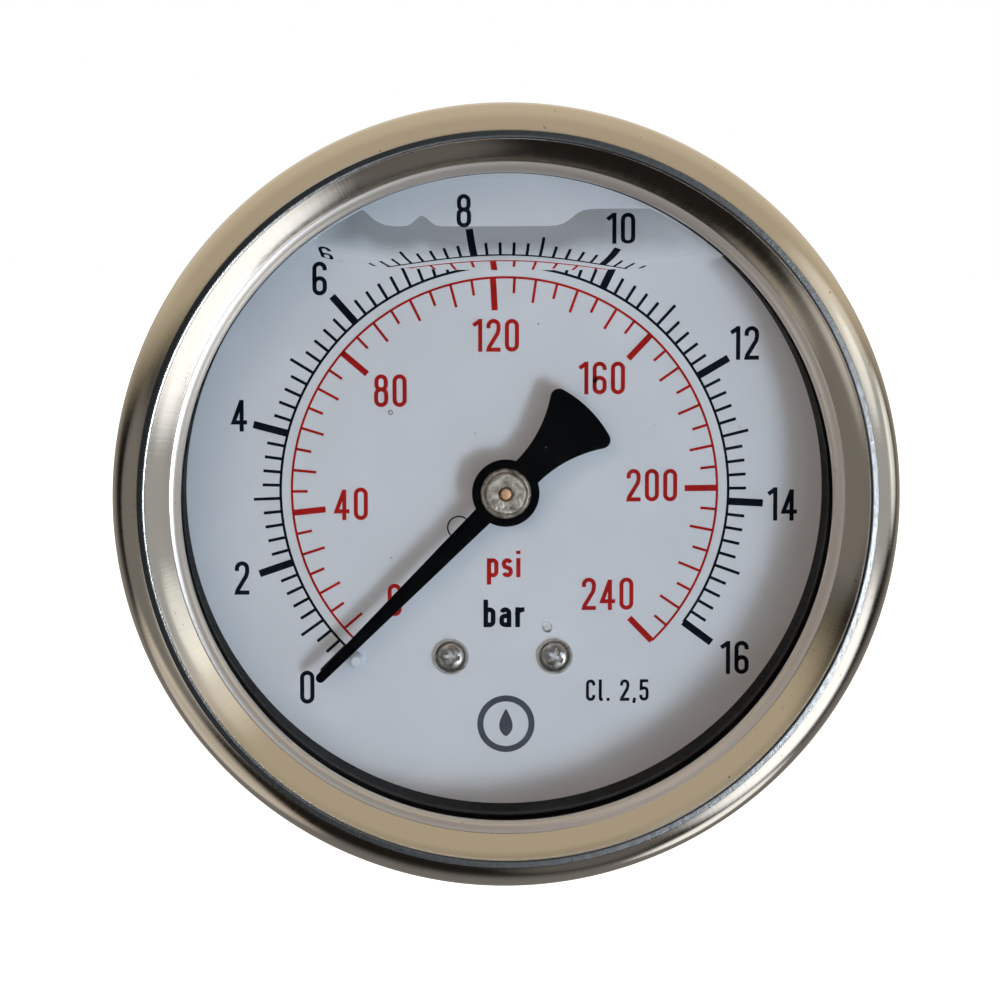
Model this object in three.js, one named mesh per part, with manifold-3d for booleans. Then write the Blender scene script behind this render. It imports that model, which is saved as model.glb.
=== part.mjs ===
// Liquid-filled dial pressure gauge, nominal size 63 mm, with a central back connection.
// Millimetres. The dial axis is Y: the dial faces -Y and the threaded stem points to +Y. +Z is up.
// The origin is the centre of the flat end face of the thread, where the sealing washer sits.
import * as THREE from "three";
import { mergeVertices } from "three/addons/utils/BufferGeometryUtils.js";
import Module from "manifold-3d";

const wasm = await Module();
wasm.setup();

// ---- Driving dimensions ----
const degrees = Math.PI / 180;
const fineSegments = 48;
const midSegments = 24;
const smallSegments = 14;
const fit = 0.05; // radial or end gap between neighbouring pieces

const sheet = 0.6; // thickness of the case and bezel sheet
const caseRadius = 31;
const caseBack = -23.5;
const caseCorner = 2.6;
const flangeRadius = 33;
const flangeBack = -49.75;
const stemHoleRadius = 8.4;

const bezelRadius = 34;
const crestRadius = 31.7;
const crestFront = -56.5;
const lipRadius = 28.1;
const lipFront = -54.2;

const windowThickness = 2.5;
const windowFront = lipFront + sheet + fit;
const windowBack = windowFront + windowThickness;
const windowRadius = 32.5;
const gasketInner = 27.95; // stands just inside the lip, so that it shows as a thin black line

const dialFront = -42.8;
const dialThickness = 0.5;
const dialBack = dialFront + dialThickness;
const dialRadius = 28.9;
const stopPinFront = -47.4;
const stopPinRadius = 0.54;

const restAngle = 225 * degrees; // pointer direction at zero, anticlockwise from +X as seen from the front
const pointerTravel = 270 * degrees;
const pointerFront = -46.7;
const pointerThickness = 0.4;
const hubFront = -47.6;
const hubBack = -45;
const hubRadius = 2.2;
const hubFaceRadius = 1.87;
const hubSleeveRadius = 1.2;
const hubBore = 0.62;
const arborFront = -47.9;
const arborTipRadius = 0.5;

const plateThickness = 1;
const backPlateFront = -33.2;
const frontPlateFront = -41.2;
const frontPlateBack = frontPlateFront + plateThickness;
const backPlateBack = backPlateFront + plateThickness;
const pinionFront = -38.6;
const pinionBack = -36.2;
const arborJournal = 0.6; // radius where the pointer's arbor runs in the plates
const arborShoulder = 0.8;
const sectorJournal = 0.5; // radius where the sector's arbor runs in the plates
const journalGap = 0.06;
const hairspringY = -35.3;
const colletInner = 0.86;
const colletOuter = 1.6;
const colletLength = 0.8;

const threadLength = 13;
const threadRadius = 6.578; // G 1/4
const threadRootRadius = 5.72;
const threadPitch = 1.337;
const hexAcrossFlats = 14;
const hexFront = -22.8;
const boreRadius = 1.25;
const nippleLength = 2;
const nippleRadius = 2.5;
const neckRadius = 8.1; // fits the hole in the case's back
const flangeDiscRadius = 15.2;
const socketFlangeFace = caseBack - sheet - fit;
const flangeDiscFront = -27.6;
const dialBossRadius = 2.4;
const dialBossBack = -30;
const ventY = -37;
const ventHoleRadius = 3.2;

// ---- Movement layout, in (x, z) as seen from the front ----
const gearModule = 0.2;
const pinionTeeth = 12;
const sectorTeeth = 120; // teeth of the full circle that the sector is part of
const gearRatio = pinionTeeth / sectorTeeth;
const sectorSwing = pointerTravel * gearRatio;
const centreDistance = (gearModule * (pinionTeeth + sectorTeeth)) / 2 + 0.03;
const tubeRadius = 22; // centre line of the Bourdon tube
const tailLength = 4.6;
const linkLength = 6.8;
const sectorBearing = -33 * degrees;
const tailBearing = 20.5 * degrees; // tail direction half way through the swing

const plane = (x, z) => new THREE.Vector2(x, z);
const polar = (radius, angle) => plane(radius * Math.cos(angle), radius * Math.sin(angle));
const centre = plane(0, 0);
const sectorPivot = polar(centreDistance, sectorBearing);
const tailUnit = polar(1, tailBearing);
const pushUnit = polar(1, tailBearing + Math.PI / 2);
const tailPinMiddle = sectorPivot.clone().addScaledVector(tailUnit, tailLength);
const tipPinMiddle = tailPinMiddle.clone().addScaledVector(pushUnit, -linkLength);
// The tube's root hinge lies on the tube's centre line, square to the link.
const tipAlong = tipPinMiddle.dot(tailUnit);
const tubeArm = tipAlong + Math.sqrt(tipAlong ** 2 - tipPinMiddle.lengthSq() + tubeRadius ** 2);
const tubeRoot = tipPinMiddle.clone().addScaledVector(tailUnit, -tubeArm);
const tipHalfTravel = tailLength * Math.sin(sectorSwing / 2);
const tubeSwing = 2 * Math.asin(tipHalfTravel / tubeArm);
const tailPin = tailPinMiddle.clone().rotateAround(sectorPivot, -sectorSwing / 2);
const tipPin = tipPinMiddle.clone().rotateAround(tubeRoot, -tubeSwing / 2);

const leftPillar = plane(-8.5, 5.2);
const rightPillar = plane(8.8, -12);
const plateScrewPoints = [leftPillar, rightPillar];
const mountScrewPoints = [plane(-5.2, 1.2), plane(3.6, -6.4)];
const caseScrewPoints = [plane(-13.2, 0), plane(13.2, 0)];
const dialScrewPoints = [plane(-4.8, -14.8), plane(4.4, -14.8)];
const stopPinPoint = plane(-13.15, -14.75);

// ---- Materials ----
const finish = (color, roughness, metalness) => ({ color, roughness, metalness });
const steel = finish(0xb9b2a6, 0.22, 1);
const brass = finish(0xb88f4a, 0.35, 1);
const nickel = finish(0xa79a88, 0.4, 1);
const copper = finish(0x9c6a45, 0.4, 1);
const blackPaint = finish(0x141414, 0.5, 0);
const whitePaint = finish(0xc9cdd3, 0.6, 0);
const rubber = finish(0x161616, 0.8, 0);
const clear = finish(0xe8eef0, 0.05, 0);
const palePlastic = finish(0xd9dcdf, 0.4, 0);

const gauge = new THREE.Group();
gauge.name = "pressure_gauge";

function add(name, geometry, look) {
  const mesh = new THREE.Mesh(geometry, new THREE.MeshStandardMaterial(look));
  mesh.name = name;
  gauge.add(mesh);
}

// ---- Geometry helpers ----

// Merges shared vertices and drops triangles that have collapsed to a line.
function welded(source) {
  const bare = source.clone();
  bare.deleteAttribute("normal");
  bare.deleteAttribute("uv");
  const merged = mergeVertices(bare, 1e-5);
  const corners = merged.index.array;
  const kept = [];
  for (let i = 0; i < corners.length; i += 3) {
    const [a, b, c] = [corners[i], corners[i + 1], corners[i + 2]];
    if (a !== b && b !== c && c !== a) kept.push(a, b, c);
  }
  merged.setIndex(kept);
  return merged;
}

function toSolid(geometry) {
  const merged = welded(geometry);
  const vertProperties = Float32Array.from(merged.attributes.position.array);
  const triVerts = Uint32Array.from(merged.index.array);
  return new wasm.Manifold(new wasm.Mesh({ numProp: 3, vertProperties, triVerts }));
}

function toGeometry(solid) {
  const mesh = solid.getMesh();
  const geometry = new THREE.BufferGeometry();
  geometry.setAttribute("position", new THREE.BufferAttribute(mesh.vertProperties, 3));
  geometry.setIndex(new THREE.BufferAttribute(mesh.triVerts, 1));
  geometry.computeVertexNormals();
  return geometry;
}

function combine(added, removed = []) {
  let solid = toSolid(added[0]);
  for (const piece of added.slice(1)) solid = solid.add(toSolid(piece));
  for (const piece of removed) solid = solid.subtract(toSolid(piece));
  return toGeometry(solid);
}

// Revolves a profile of (radius, y) points about the Y axis. A loop closes on its first point.
function revolve(profile, segments, at = centre) {
  const points = profile.map(([radius, y]) => new THREE.Vector2(radius, y));
  const area = THREE.ShapeUtils.area(points);
  if (area < 0) points.reverse();
  const onAxis = points.findIndex((p) => p.x === 0);
  if (onAxis < 0) {
    points.push(points[0].clone());
  } else {
    // Starts where the outline leaves the axis, so that the first and last points both lie on it.
    while (!(points[0].x === 0 && points[points.length - 1].x === 0)) points.push(points.shift());
  }
  return welded(new THREE.LatheGeometry(points, segments)).translate(at.x, 0, at.y);
}

const rod = (radius, front, back, segments, at = centre) =>
  revolve([[0, front], [radius, front], [radius, back], [0, back]], segments, at);

const ring = (inner, outer, front, back, segments, at = centre) =>
  revolve([[inner, front], [outer, front], [outer, back], [inner, back]], segments, at);

// Extrudes an outline drawn in (x, z) from its rear plane towards the front.
function slab(shape, front, back, curveSegments = 8) {
  const options = { depth: back - front, bevelEnabled: false, curveSegments };
  return new THREE.ExtrudeGeometry(shape, options).rotateX(Math.PI / 2).translate(0, back, 0);
}

function block(x0, x1, y0, y1, z0, z1) {
  const box = new THREE.BoxGeometry(x1 - x0, y1 - y0, z1 - z0);
  return box.translate((x0 + x1) / 2, (y0 + y1) / 2, (z0 + z1) / 2);
}

// Outline that wraps circles, listed anticlockwise, with straight tangents.
function wrapped(circles) {
  const shape = new THREE.Shape();
  const tangent = circles.map(({ at, radius }, i) => {
    const next = circles[(i + 1) % circles.length];
    const step = next.at.clone().sub(at);
    return Math.atan2(step.y, step.x) - Math.acos((radius - next.radius) / step.length());
  });
  circles.forEach(({ at, radius }, i) => {
    const from = tangent[(i + circles.length - 1) % circles.length];
    shape.absarc(at.x, at.y, radius, from, tangent[i], false);
  });
  shape.closePath();
  return shape;
}

const circle = (at, radius) => ({ at, radius });

function round(at, radius) {
  const points = [];
  for (let i = 0; i < smallSegments; i += 1) {
    points.push(polar(radius, (i * 2 * Math.PI) / smallSegments).add(at));
  }
  return new THREE.Path(points);
}

function sweep(section, path, steps) {
  return new THREE.ExtrudeGeometry(section, { steps, extrudePath: path, curveSegments: 2 });
}

// An arc or spiral in a plane square to Y. The radius grows evenly from start to end.
class FlatSpiral extends THREE.Curve {
  constructor(startRadius, endRadius, startAngle, endAngle, y) {
    super();
    Object.assign(this, { startRadius, endRadius, startAngle, endAngle, y });
  }

  getPoint(t, target = new THREE.Vector3()) {
    const radius = THREE.MathUtils.lerp(this.startRadius, this.endRadius, t);
    const angle = THREE.MathUtils.lerp(this.startAngle, this.endAngle, t);
    return target.set(radius * Math.cos(angle), this.y, radius * Math.sin(angle));
  }
}

// Flattened round: length lies along Y once swept, width lies across the curve.
function flatOval(length, width) {
  const shape = new THREE.Shape();
  const half = (length - width) / 2;
  shape.absarc(half, 0, width / 2, -Math.PI / 2, Math.PI / 2, false);
  shape.absarc(-half, 0, width / 2, Math.PI / 2, 1.5 * Math.PI, false);
  shape.closePath();
  return shape;
}

// A pan-head screw along Y. Sign -1 puts the head at the front, +1 at the back.
function screw({ at, seat, sign, headRadius, headHeight, shankRadius, shankLength, cross = true }) {
  const top = seat + sign * headHeight;
  const profile = [
    [0, top],
    [headRadius * 0.55, top],
    [headRadius * 0.88, top - sign * headHeight * 0.3],
    [headRadius, top - sign * headHeight * 0.65],
    [headRadius, seat],
    [shankRadius, seat],
    [shankRadius, seat - sign * shankLength],
    [0, seat - sign * shankLength],
  ];
  const body = revolve(profile, smallSegments, at);
  const reach = headRadius * 0.58;
  const width = headRadius * 0.15;
  const floor = top - sign * headHeight * 0.6;
  const [low, high] = [Math.min(floor, top + sign), Math.max(floor, top + sign)];
  const slots = [block(at.x - reach, at.x + reach, low, high, at.y - width, at.y + width)];
  if (cross) slots.push(block(at.x - width, at.x + width, low, high, at.y - reach, at.y + reach));
  return combine([body], slots);
}

// ---- Case, bezel, window and seals ----

function arcPoints(radius, y, size, from, to, steps) {
  const points = [];
  for (let i = 0; i <= steps; i += 1) {
    const angle = from + ((to - from) * i) / steps;
    points.push([radius + size * Math.cos(angle), y + size * Math.sin(angle)]);
  }
  return points;
}

function buildCase() {
  const inner = caseRadius - sheet;
  const cornerY = caseBack - caseCorner;
  const profile = [
    [stemHoleRadius, caseBack],
    ...arcPoints(caseRadius - caseCorner, cornerY, caseCorner, Math.PI / 2, 0, 4),
    [caseRadius, flangeBack],
    [flangeRadius, flangeBack],
    [flangeRadius, flangeBack - sheet],
    [inner, flangeBack - sheet],
    ...arcPoints(caseRadius - caseCorner, cornerY, caseCorner - sheet, 0, Math.PI / 2, 4),
    [stemHoleRadius, caseBack - sheet],
  ];
  const holes = caseScrewPoints.map((at) => rod(1.55, caseBack - 2, caseBack + 1, smallSegments, at));
  holes.push(upright(ventHoleRadius, caseRadius - 3, caseRadius + 3));
  return combine([revolve(profile, fineSegments)], holes);
}

// A rod along Z through the case's top, at the vent plug's place.
function upright(radius, low, high) {
  const cylinder = new THREE.CylinderGeometry(radius, radius, high - low, smallSegments);
  return cylinder.rotateX(Math.PI / 2).translate(0, ventY, (low + high) / 2);
}

// A neck through the case, a wide cap outside it and a smaller button on the cap.
function buildVentPlug() {
  const neck = upright(ventHoleRadius - 0.1, caseRadius - 1.6, caseRadius + 0.6);
  const cap = upright(4.4, caseRadius + fit, caseRadius + 1.4);
  const button = upright(3.6, caseRadius + 1.2, caseRadius + 1.9);
  return combine([neck, cap, button]);
}

// The bezel's front face rises from the rim to the crest, then falls inwards to the lip.
// The rim is widest near the front and tapers slightly towards the crimped back edge.
function buildBezel() {
  const widestFront = -54.7;
  const crimpFront = flangeBack + 2 * fit;
  const crimpBack = crimpFront + sheet;
  const outside = [
    [31.4, crimpBack],
    [33.2, crimpBack],
    [33.8, crimpFront],
    [bezelRadius, widestFront],
    [33.7, -55.6],
    [32.8, -56.3],
    [crestRadius, crestFront],
    [30.9, -56],
    [29.8, -54.9],
    [28.85, -54.35],
    [lipRadius, lipFront],
  ];
  const inside = [
    [lipRadius, lipFront + sheet],
    [28.95, lipFront + sheet - 0.12],
    [30.2, -54.3],
    [31.1, -55.4],
    [crestRadius, -55.85],
    [32.6, -55.7],
    [33.35, -54.9],
    [33.2, crimpFront],
    [31.4, crimpFront],
  ];
  return revolve([...outside, ...inside], fineSegments);
}

function buildWindow() {
  const chamfer = 0.3;
  return revolve([
    [0, windowFront],
    [windowRadius - chamfer, windowFront],
    [windowRadius, windowFront + chamfer],
    [windowRadius, windowBack],
    [0, windowBack],
  ], fineSegments);
}

function buildGasket() {
  const flangeFront = windowBack + fit;
  const seat = flangeBack - sheet - fit;
  return revolve([
    [gasketInner, flangeFront],
    [windowRadius, flangeFront],
    [windowRadius, seat],
    [caseRadius - sheet - 0.1, seat],
    [caseRadius - sheet - 0.1, dialFront - fit],
    [gasketInner, dialFront - fit],
  ], fineSegments);
}

// ---- Dial and what stands on it ----

function buildDial() {
  const shape = new THREE.Shape();
  shape.absarc(0, 0, dialRadius, 0, 2 * Math.PI, false);
  shape.holes.push(round(centre, 2), round(stopPinPoint, 0.45));
  for (const at of dialScrewPoints) shape.holes.push(round(at, 1.05));
  return slab(shape, dialFront, dialBack, fineSegments);
}

function buildStopPin() {
  return revolve([
    [0, stopPinFront],
    [stopPinRadius - 0.15, stopPinFront],
    [stopPinRadius, stopPinFront + 0.2],
    [stopPinRadius, dialFront - 0.45],
    [1, dialFront - 0.4],
    [1, dialFront - fit],
    [0.38, dialFront - fit],
    [0.38, dialBack + 0.3],
    [0, dialBack + 0.3],
  ], smallSegments, stopPinPoint);
}

// ---- Pointer, hub and arbor ----

// Drawn along +X and turned to the zero mark: a tapering needle, a ring and an axe-shaped tail.
function buildPointer() {
  const tip = 23.4;
  const tipHalf = 0.41;
  const baseHalf = 0.87;
  const ringRadius = 2.95;
  const neckHalf = 1.35;
  const tailRadius = 11.1;
  const tailHalf = 16 * degrees;
  const corner = 0.75;
  const needleAngle = Math.asin(baseHalf / ringRadius);
  const neckAngle = Math.asin(neckHalf / ringRadius);
  const shape = new THREE.Shape();
  shape.absarc(tip - tipHalf, 0, tipHalf, -Math.PI / 2, Math.PI / 2, false);
  shape.absarc(0, 0, ringRadius, needleAngle, Math.PI - neckAngle, false);
  const upper = polar(tailRadius - 2 * corner, Math.PI - tailHalf);
  const lower = plane(upper.x, -upper.y);
  const side = 57 * degrees;
  const upperSide = upper.clone().add(polar(corner, side));
  const lowerSide = plane(upperSide.x, -upperSide.y);
  const waist = plane(-5.9, neckHalf); // where the straight lines from the neck and the corner would meet
  shape.quadraticCurveTo(waist.x, waist.y, upperSide.x, upperSide.y);
  shape.absarc(upper.x, upper.y, corner, side, Math.PI - tailHalf, false);
  shape.absarc(0, 0, tailRadius - corner, Math.PI - tailHalf, Math.PI + tailHalf, false);
  shape.absarc(lower.x, lower.y, corner, Math.PI + tailHalf, 2 * Math.PI - side, false);
  shape.quadraticCurveTo(waist.x, -waist.y, ringRadius * Math.cos(Math.PI + neckAngle), -neckHalf);
  shape.absarc(0, 0, ringRadius, Math.PI + neckAngle, 2 * Math.PI - needleAngle, false);
  shape.closePath();
  shape.holes.push(round(centre, 1.3));
  const blade = slab(shape, pointerFront, pointerFront + pointerThickness, 12);
  return blade.rotateY(-restAngle);
}

function buildHub() {
  const seat = pointerFront - fit;
  return revolve([
    [hubBore, hubFront],
    [hubFaceRadius - 0.17, hubFront],
    [hubFaceRadius, hubFront + 0.15],
    [hubFaceRadius, hubFront + 0.3],
    [hubRadius - 0.1, hubFront + 0.35],
    [hubRadius, hubFront + 0.45],
    [hubRadius, seat],
    [hubSleeveRadius, seat],
    [hubSleeveRadius, hubBack],
    [hubBore, hubBack],
  ], midSegments);
}

function gearTooth(radius, at, half) {
  const addendum = 0.9 * gearModule;
  const dedendum = 1.3 * gearModule;
  const slope = Math.tan(20 * degrees);
  const root = radius - dedendum;
  const tip = radius + addendum;
  const rootHalf = (half + dedendum * slope) / root;
  const tipHalf = Math.max(half - addendum * slope, 0.03) / tip;
  return [
    polar(root, at - rootHalf),
    polar(tip, at - tipHalf),
    polar(tip, at + tipHalf),
    polar(root, at + rootHalf),
  ];
}

// Teeth are cut thin enough to leave about 0.1 mm of play.
const toothHalf = (Math.PI * gearModule) / 4 - 0.035;

function buildArbor() {
  const pitchRadius = (gearModule * pinionTeeth) / 2;
  const outline = [];
  for (let i = 0; i < pinionTeeth; i += 1) {
    const at = sectorBearing + ((i + 0.5) * 2 * Math.PI) / pinionTeeth;
    outline.push(...gearTooth(pitchRadius, at, toothHalf));
  }
  const pinion = slab(new THREE.Shape(outline), pinionFront, pinionBack);
  const shaft = revolve([
    [0, arborFront],
    [arborTipRadius - 0.1, arborFront],
    [arborTipRadius, arborFront + 0.1],
    [hubBore - journalGap, hubBack - 0.4],
    [hubBore - journalGap, frontPlateFront],
    [arborJournal, frontPlateBack - 0.1],
    [arborJournal, frontPlateBack + 0.2],
    [arborShoulder, frontPlateBack + 0.2],
    [arborShoulder, backPlateFront - 0.2],
    [arborJournal, backPlateFront - 0.2],
    [arborJournal, backPlateBack - 0.15],
    [0, backPlateBack - 0.15],
  ], smallSegments);
  return combine([shaft, pinion]);
}

// ---- Sector, link and tube ----

const sectorFront = -37.8;
const sectorBack = -37;
const linkFront = -39.4;
const linkBack = -38.8;
const linkPinRadius = 0.55;

function buildSector() {
  const facing = sectorBearing + Math.PI;
  const pitch = (2 * Math.PI) / sectorTeeth;
  const pitchRadius = (gearModule * sectorTeeth) / 2;
  const rim = [];
  for (let i = -10; i <= 1; i += 1) {
    rim.push(...gearTooth(pitchRadius, facing + i * pitch, toothHalf));
  }
  const outline = rim.map((p) => p.clone().add(sectorPivot));
  const fan = slab(new THREE.Shape([sectorPivot.clone(), ...outline]), sectorFront, sectorBack);
  const hub = rod(2, sectorFront, sectorBack, midSegments, sectorPivot);
  const tail = slab(wrapped([circle(sectorPivot, 1.4), circle(tailPin, 1.2)]), sectorFront, sectorBack);
  const middle = facing - 4.5 * pitch;
  const openings = [
    rod(0.75, sectorFront - 1, sectorBack + 1, smallSegments, sectorPivot),
    rod(0.62, sectorFront - 1, sectorBack + 1, smallSegments, tailPin),
    rod(1.3, sectorFront - 1, sectorBack + 1, smallSegments, polar(8.7, middle).add(sectorPivot)),
  ];
  return combine([fan, hub, tail], openings);
}

function buildSectorArbor() {
  return revolve([
    [0, frontPlateFront + 0.1],
    [sectorJournal, frontPlateFront + 0.1],
    [sectorJournal, frontPlateBack + 0.2],
    [0.7, frontPlateBack + 0.2],
    [0.7, sectorBack + fit],
    [1.5, sectorBack + fit],
    [1.5, sectorBack + 1.2],
    [0.8, sectorBack + 1.2],
    [0.8, backPlateFront - 0.2],
    [sectorJournal, backPlateFront - 0.2],
    [sectorJournal, backPlateBack - 0.1],
    [0, backPlateBack - 0.1],
  ], smallSegments, sectorPivot);
}

// Headed pin through the link's end. It stands on the part behind it.
function linkPin(at, seat, tail) {
  return revolve([
    [0, linkFront - 0.7],
    [0.9, linkFront - 0.7],
    [1.05, linkFront - 0.5],
    [1.05, linkFront - 0.1],
    [linkPinRadius, linkFront - 0.1],
    [linkPinRadius, linkBack + 0.1],
    [0.95, linkBack + 0.1],
    [0.95, seat - fit],
    [linkPinRadius, seat - fit],
    [linkPinRadius, tail],
    [0, tail],
  ], smallSegments, at);
}

// The hole at the sector's end is the wider one: there the link only passes round the pin.
function buildLink() {
  const endRadius = 1.25;
  const shape = wrapped([circle(tipPin, endRadius), circle(tailPin, endRadius)]);
  shape.holes.push(round(tipPin, linkPinRadius + 0.07), round(tailPin, linkPinRadius + 0.2));
  return slab(shape, linkFront, linkBack);
}

const tubeY = -30.5;
const tubeDepth = 9;
const tubeWidth = 3.4;
const tubeWall = 0.45;
const endPieceFront = tubeY - tubeDepth / 2 - 0.6;
const endPieceBack = tubeY + tubeDepth / 2 + 0.6;
const rootAngle = Math.atan2(tubeRoot.y, tubeRoot.x) + 2 * Math.PI;
const tubeStart = rootAngle + 6 * degrees;
const tubeEnd = -26.6 * degrees;
const alongTube = (from, to) => new FlatSpiral(tubeRadius, tubeRadius, from, to, tubeY);

function buildTube() {
  const section = flatOval(tubeDepth, tubeWidth);
  section.holes.push(flatOval(tubeDepth - 2 * tubeWall, tubeWidth - 2 * tubeWall));
  return sweep(section, alongTube(tubeStart, tubeEnd), 30);
}

// The sealed tip: a plug inside the tube's end and a lug that carries the link pin.
function buildEndPiece() {
  const shoulder = polar(tubeRadius, tubeEnd - 5 * degrees);
  const lug = wrapped([circle(shoulder, 1.75), circle(tipPin, 1.6)]);
  const body = slab(lug, endPieceFront, endPieceBack);
  const gap = 0.15;
  const plugSection = flatOval(tubeDepth - 2 * tubeWall - gap, tubeWidth - 2 * tubeWall - gap);
  const plug = sweep(plugSection, alongTube(tubeEnd + 5 * degrees, tubeEnd - 4 * degrees), 4);
  const hole = rod(linkPinRadius + fit, endPieceFront - 1, endPieceFront + 4, smallSegments, tipPin);
  return combine([body, plug], [hole]);
}

// ---- Movement frame ----

function buildPlate(front, back, fixings) {
  const shape = wrapped([
    circle(leftPillar, 3.2),
    circle(rightPillar, 2.4),
    circle(sectorPivot, 2.8),
  ]);
  shape.holes.push(round(centre, arborJournal + journalGap), round(sectorPivot, sectorJournal + 0.07));
  for (const at of fixings) shape.holes.push(round(at, 0.85));
  return slab(shape, front, back, 8);
}

function buildPillar(at) {
  return revolve([
    [0.85, frontPlateBack + fit],
    [1.4, frontPlateBack + fit],
    [1.4, backPlateFront - fit],
    [0.75, backPlateFront - fit],
    [0.75, backPlateBack - 0.1],
    [0, backPlateBack - 0.1],
    [0, -36.5],
    [0.85, -36.5],
  ], smallSegments, at);
}

const studBearing = 100 * degrees;
const stud = polar(5.75, studBearing);

function buildHairspring() {
  const section = new THREE.Shape([plane(-0.3, -0.1), plane(0.3, -0.1), plane(0.3, 0.1), plane(-0.3, 0.1)]);
  const end = studBearing;
  const turns = 3.5;
  return sweep(section, new FlatSpiral(1.9, 5.1, end - turns * 2 * Math.PI, end, hairspringY), 60);
}

function buildStud() {
  return rod(0.45, hairspringY - 0.6, backPlateFront - fit, smallSegments, stud);
}

// ---- Socket: stem, flange, tube foot and dial bosses in one brass piece ----

const footLeft = -9.6;
const footRight = 8;
const footLow = -25.4;
const footHigh = -17;
const footFront = -36.4;

function stemProfile() {
  const crest = threadRadius;
  const root = threadRootRadius;
  const points = [
    [0, nippleLength],
    [nippleRadius - 0.2, nippleLength],
    [nippleRadius, nippleLength - 0.2],
    [nippleRadius, 0],
    [root - 0.4, 0],
  ];
  const turns = 8;
  for (let i = 0; i < turns; i += 1) {
    const y = -0.75 - i * threadPitch;
    points.push([root, y + threadPitch * 0.4]);
    points.push([crest, y]);
  }
  points.push([root - 0.25, -threadLength + 1], [root - 0.25, -threadLength], [0, -threadLength]);
  return points;
}

function buildHex() {
  const corner = hexAcrossFlats / Math.sqrt(3);
  const hex = new THREE.CylinderGeometry(corner, corner, -threadLength - hexFront, 6);
  hex.rotateY(Math.PI / 6).translate(0, (hexFront - threadLength) / 2, 0);
  const chamfer = revolve([
    [0, -threadLength],
    [6.9, -threadLength],
    [corner + 0.1, -threadLength - 0.7],
    [corner + 0.1, hexFront],
    [0, hexFront],
  ], midSegments);
  return toGeometry(toSolid(hex).intersect(toSolid(chamfer)));
}

function buildSocket() {
  const added = [
    revolve(stemProfile(), midSegments),
    buildHex(),
    rod(neckRadius, socketFlangeFace, hexFront, midSegments),
    rod(flangeDiscRadius, flangeDiscFront, socketFlangeFace, midSegments),
    block(-7.5, 7.5, backPlateBack, socketFlangeFace, footHigh, 6),
    block(footLeft, footRight, footFront, socketFlangeFace, footLow, footHigh),
    ...dialScrewPoints.map((at) => rod(dialBossRadius, dialBack + fit, dialBossBack, smallSegments, at)),
  ];
  const clearance = 0.35;
  const pocket = flatOval(tubeDepth + 2 * clearance, tubeWidth + 2 * clearance);
  const mouth = rootAngle - 20 * degrees;
  // Drilled up from the foot into the bore.
  const pressurePassage = new THREE.CylinderGeometry(0.9, 0.9, 21.6, 12);
  pressurePassage.rotateX(Math.PI / 2).translate(-1, -28, -10.8);
  const removed = [
    rod(boreRadius, -29, nippleLength + 1, smallSegments),
    ring(8.9, 11.3, socketFlangeFace - 1.3, socketFlangeFace + 1, midSegments),
    sweep(pocket, alongTube(tubeStart + 3 * degrees, mouth), 6),
    pressurePassage,
    ...dialScrewPoints.map((at) => rod(0.9, dialBack - 1, dialBack + 5, smallSegments, at)),
    ...caseScrewPoints.map((at) => rod(1.3, -27, -22, smallSegments, at)),
    ...mountScrewPoints.map((at) => rod(0.85, backPlateBack - 1, backPlateBack + 4, smallSegments, at)),
  ];
  return combine(added, removed);
}

function buildORing() {
  const loop = arcPoints(10.1, socketFlangeFace - 0.63, 0.6, 0, 2 * Math.PI * (7 / 8), 7);
  return revolve(loop, fineSegments / 2);
}

function buildRestrictor() {
  const slot = block(-3, 3, 0.8, 3, -0.25, 0.25);
  return combine([ring(0.3, boreRadius - fit, -3.5, nippleLength - 0.4, smallSegments)], [slot]);
}

// ---- Assembly ----

add("case", buildCase(), steel);
add("bezel_ring", buildBezel(), steel);
add("window", buildWindow(), clear);
add("window_gasket", buildGasket(), rubber);
add("vent_plug", buildVentPlug(), rubber);

add("dial", buildDial(), whitePaint);
add("stop_pin", buildStopPin(), palePlastic);
const sides = ["left", "right"];
sides.forEach((side, i) => {
  const head = { sign: -1, headRadius: 1.6, headHeight: 0.9, shankRadius: 0.85, shankLength: 4.8 };
  add(`dial_screw_${side}`, screw({ at: dialScrewPoints[i], seat: dialFront - fit, ...head }), nickel);
});

add("socket", buildSocket(), brass);
add("restrictor_screw", buildRestrictor(), nickel);
add("case_o_ring", buildORing(), rubber);
sides.forEach((side, i) => {
  const head = { sign: 1, headRadius: 2.7, headHeight: 1.6, shankRadius: 1.25, shankLength: 3 };
  add(`case_screw_${side}`, screw({ at: caseScrewPoints[i], seat: caseBack + fit, ...head }), steel);
});

add("bourdon_tube", buildTube(), copper);
add("tube_end_piece", buildEndPiece(), brass);
add("tube_link_pin", linkPin(tipPin, endPieceFront, endPieceFront + 2.4), nickel);
add("link", buildLink(), brass);

add("sector_gear", buildSector(), brass);
add("sector_arbor", buildSectorArbor(), nickel);
add("sector_link_pin", linkPin(tailPin, sectorFront, sectorBack), nickel);

add("pinion_arbor", buildArbor(), copper);
const [colletFront, colletBack] = [hairspringY - colletLength / 2, hairspringY + colletLength / 2];
add("hairspring_collet", ring(colletInner, colletOuter, colletFront, colletBack, smallSegments), brass);
add("pointer_hub", buildHub(), nickel);
add("pointer", buildPointer(), blackPaint);

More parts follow.
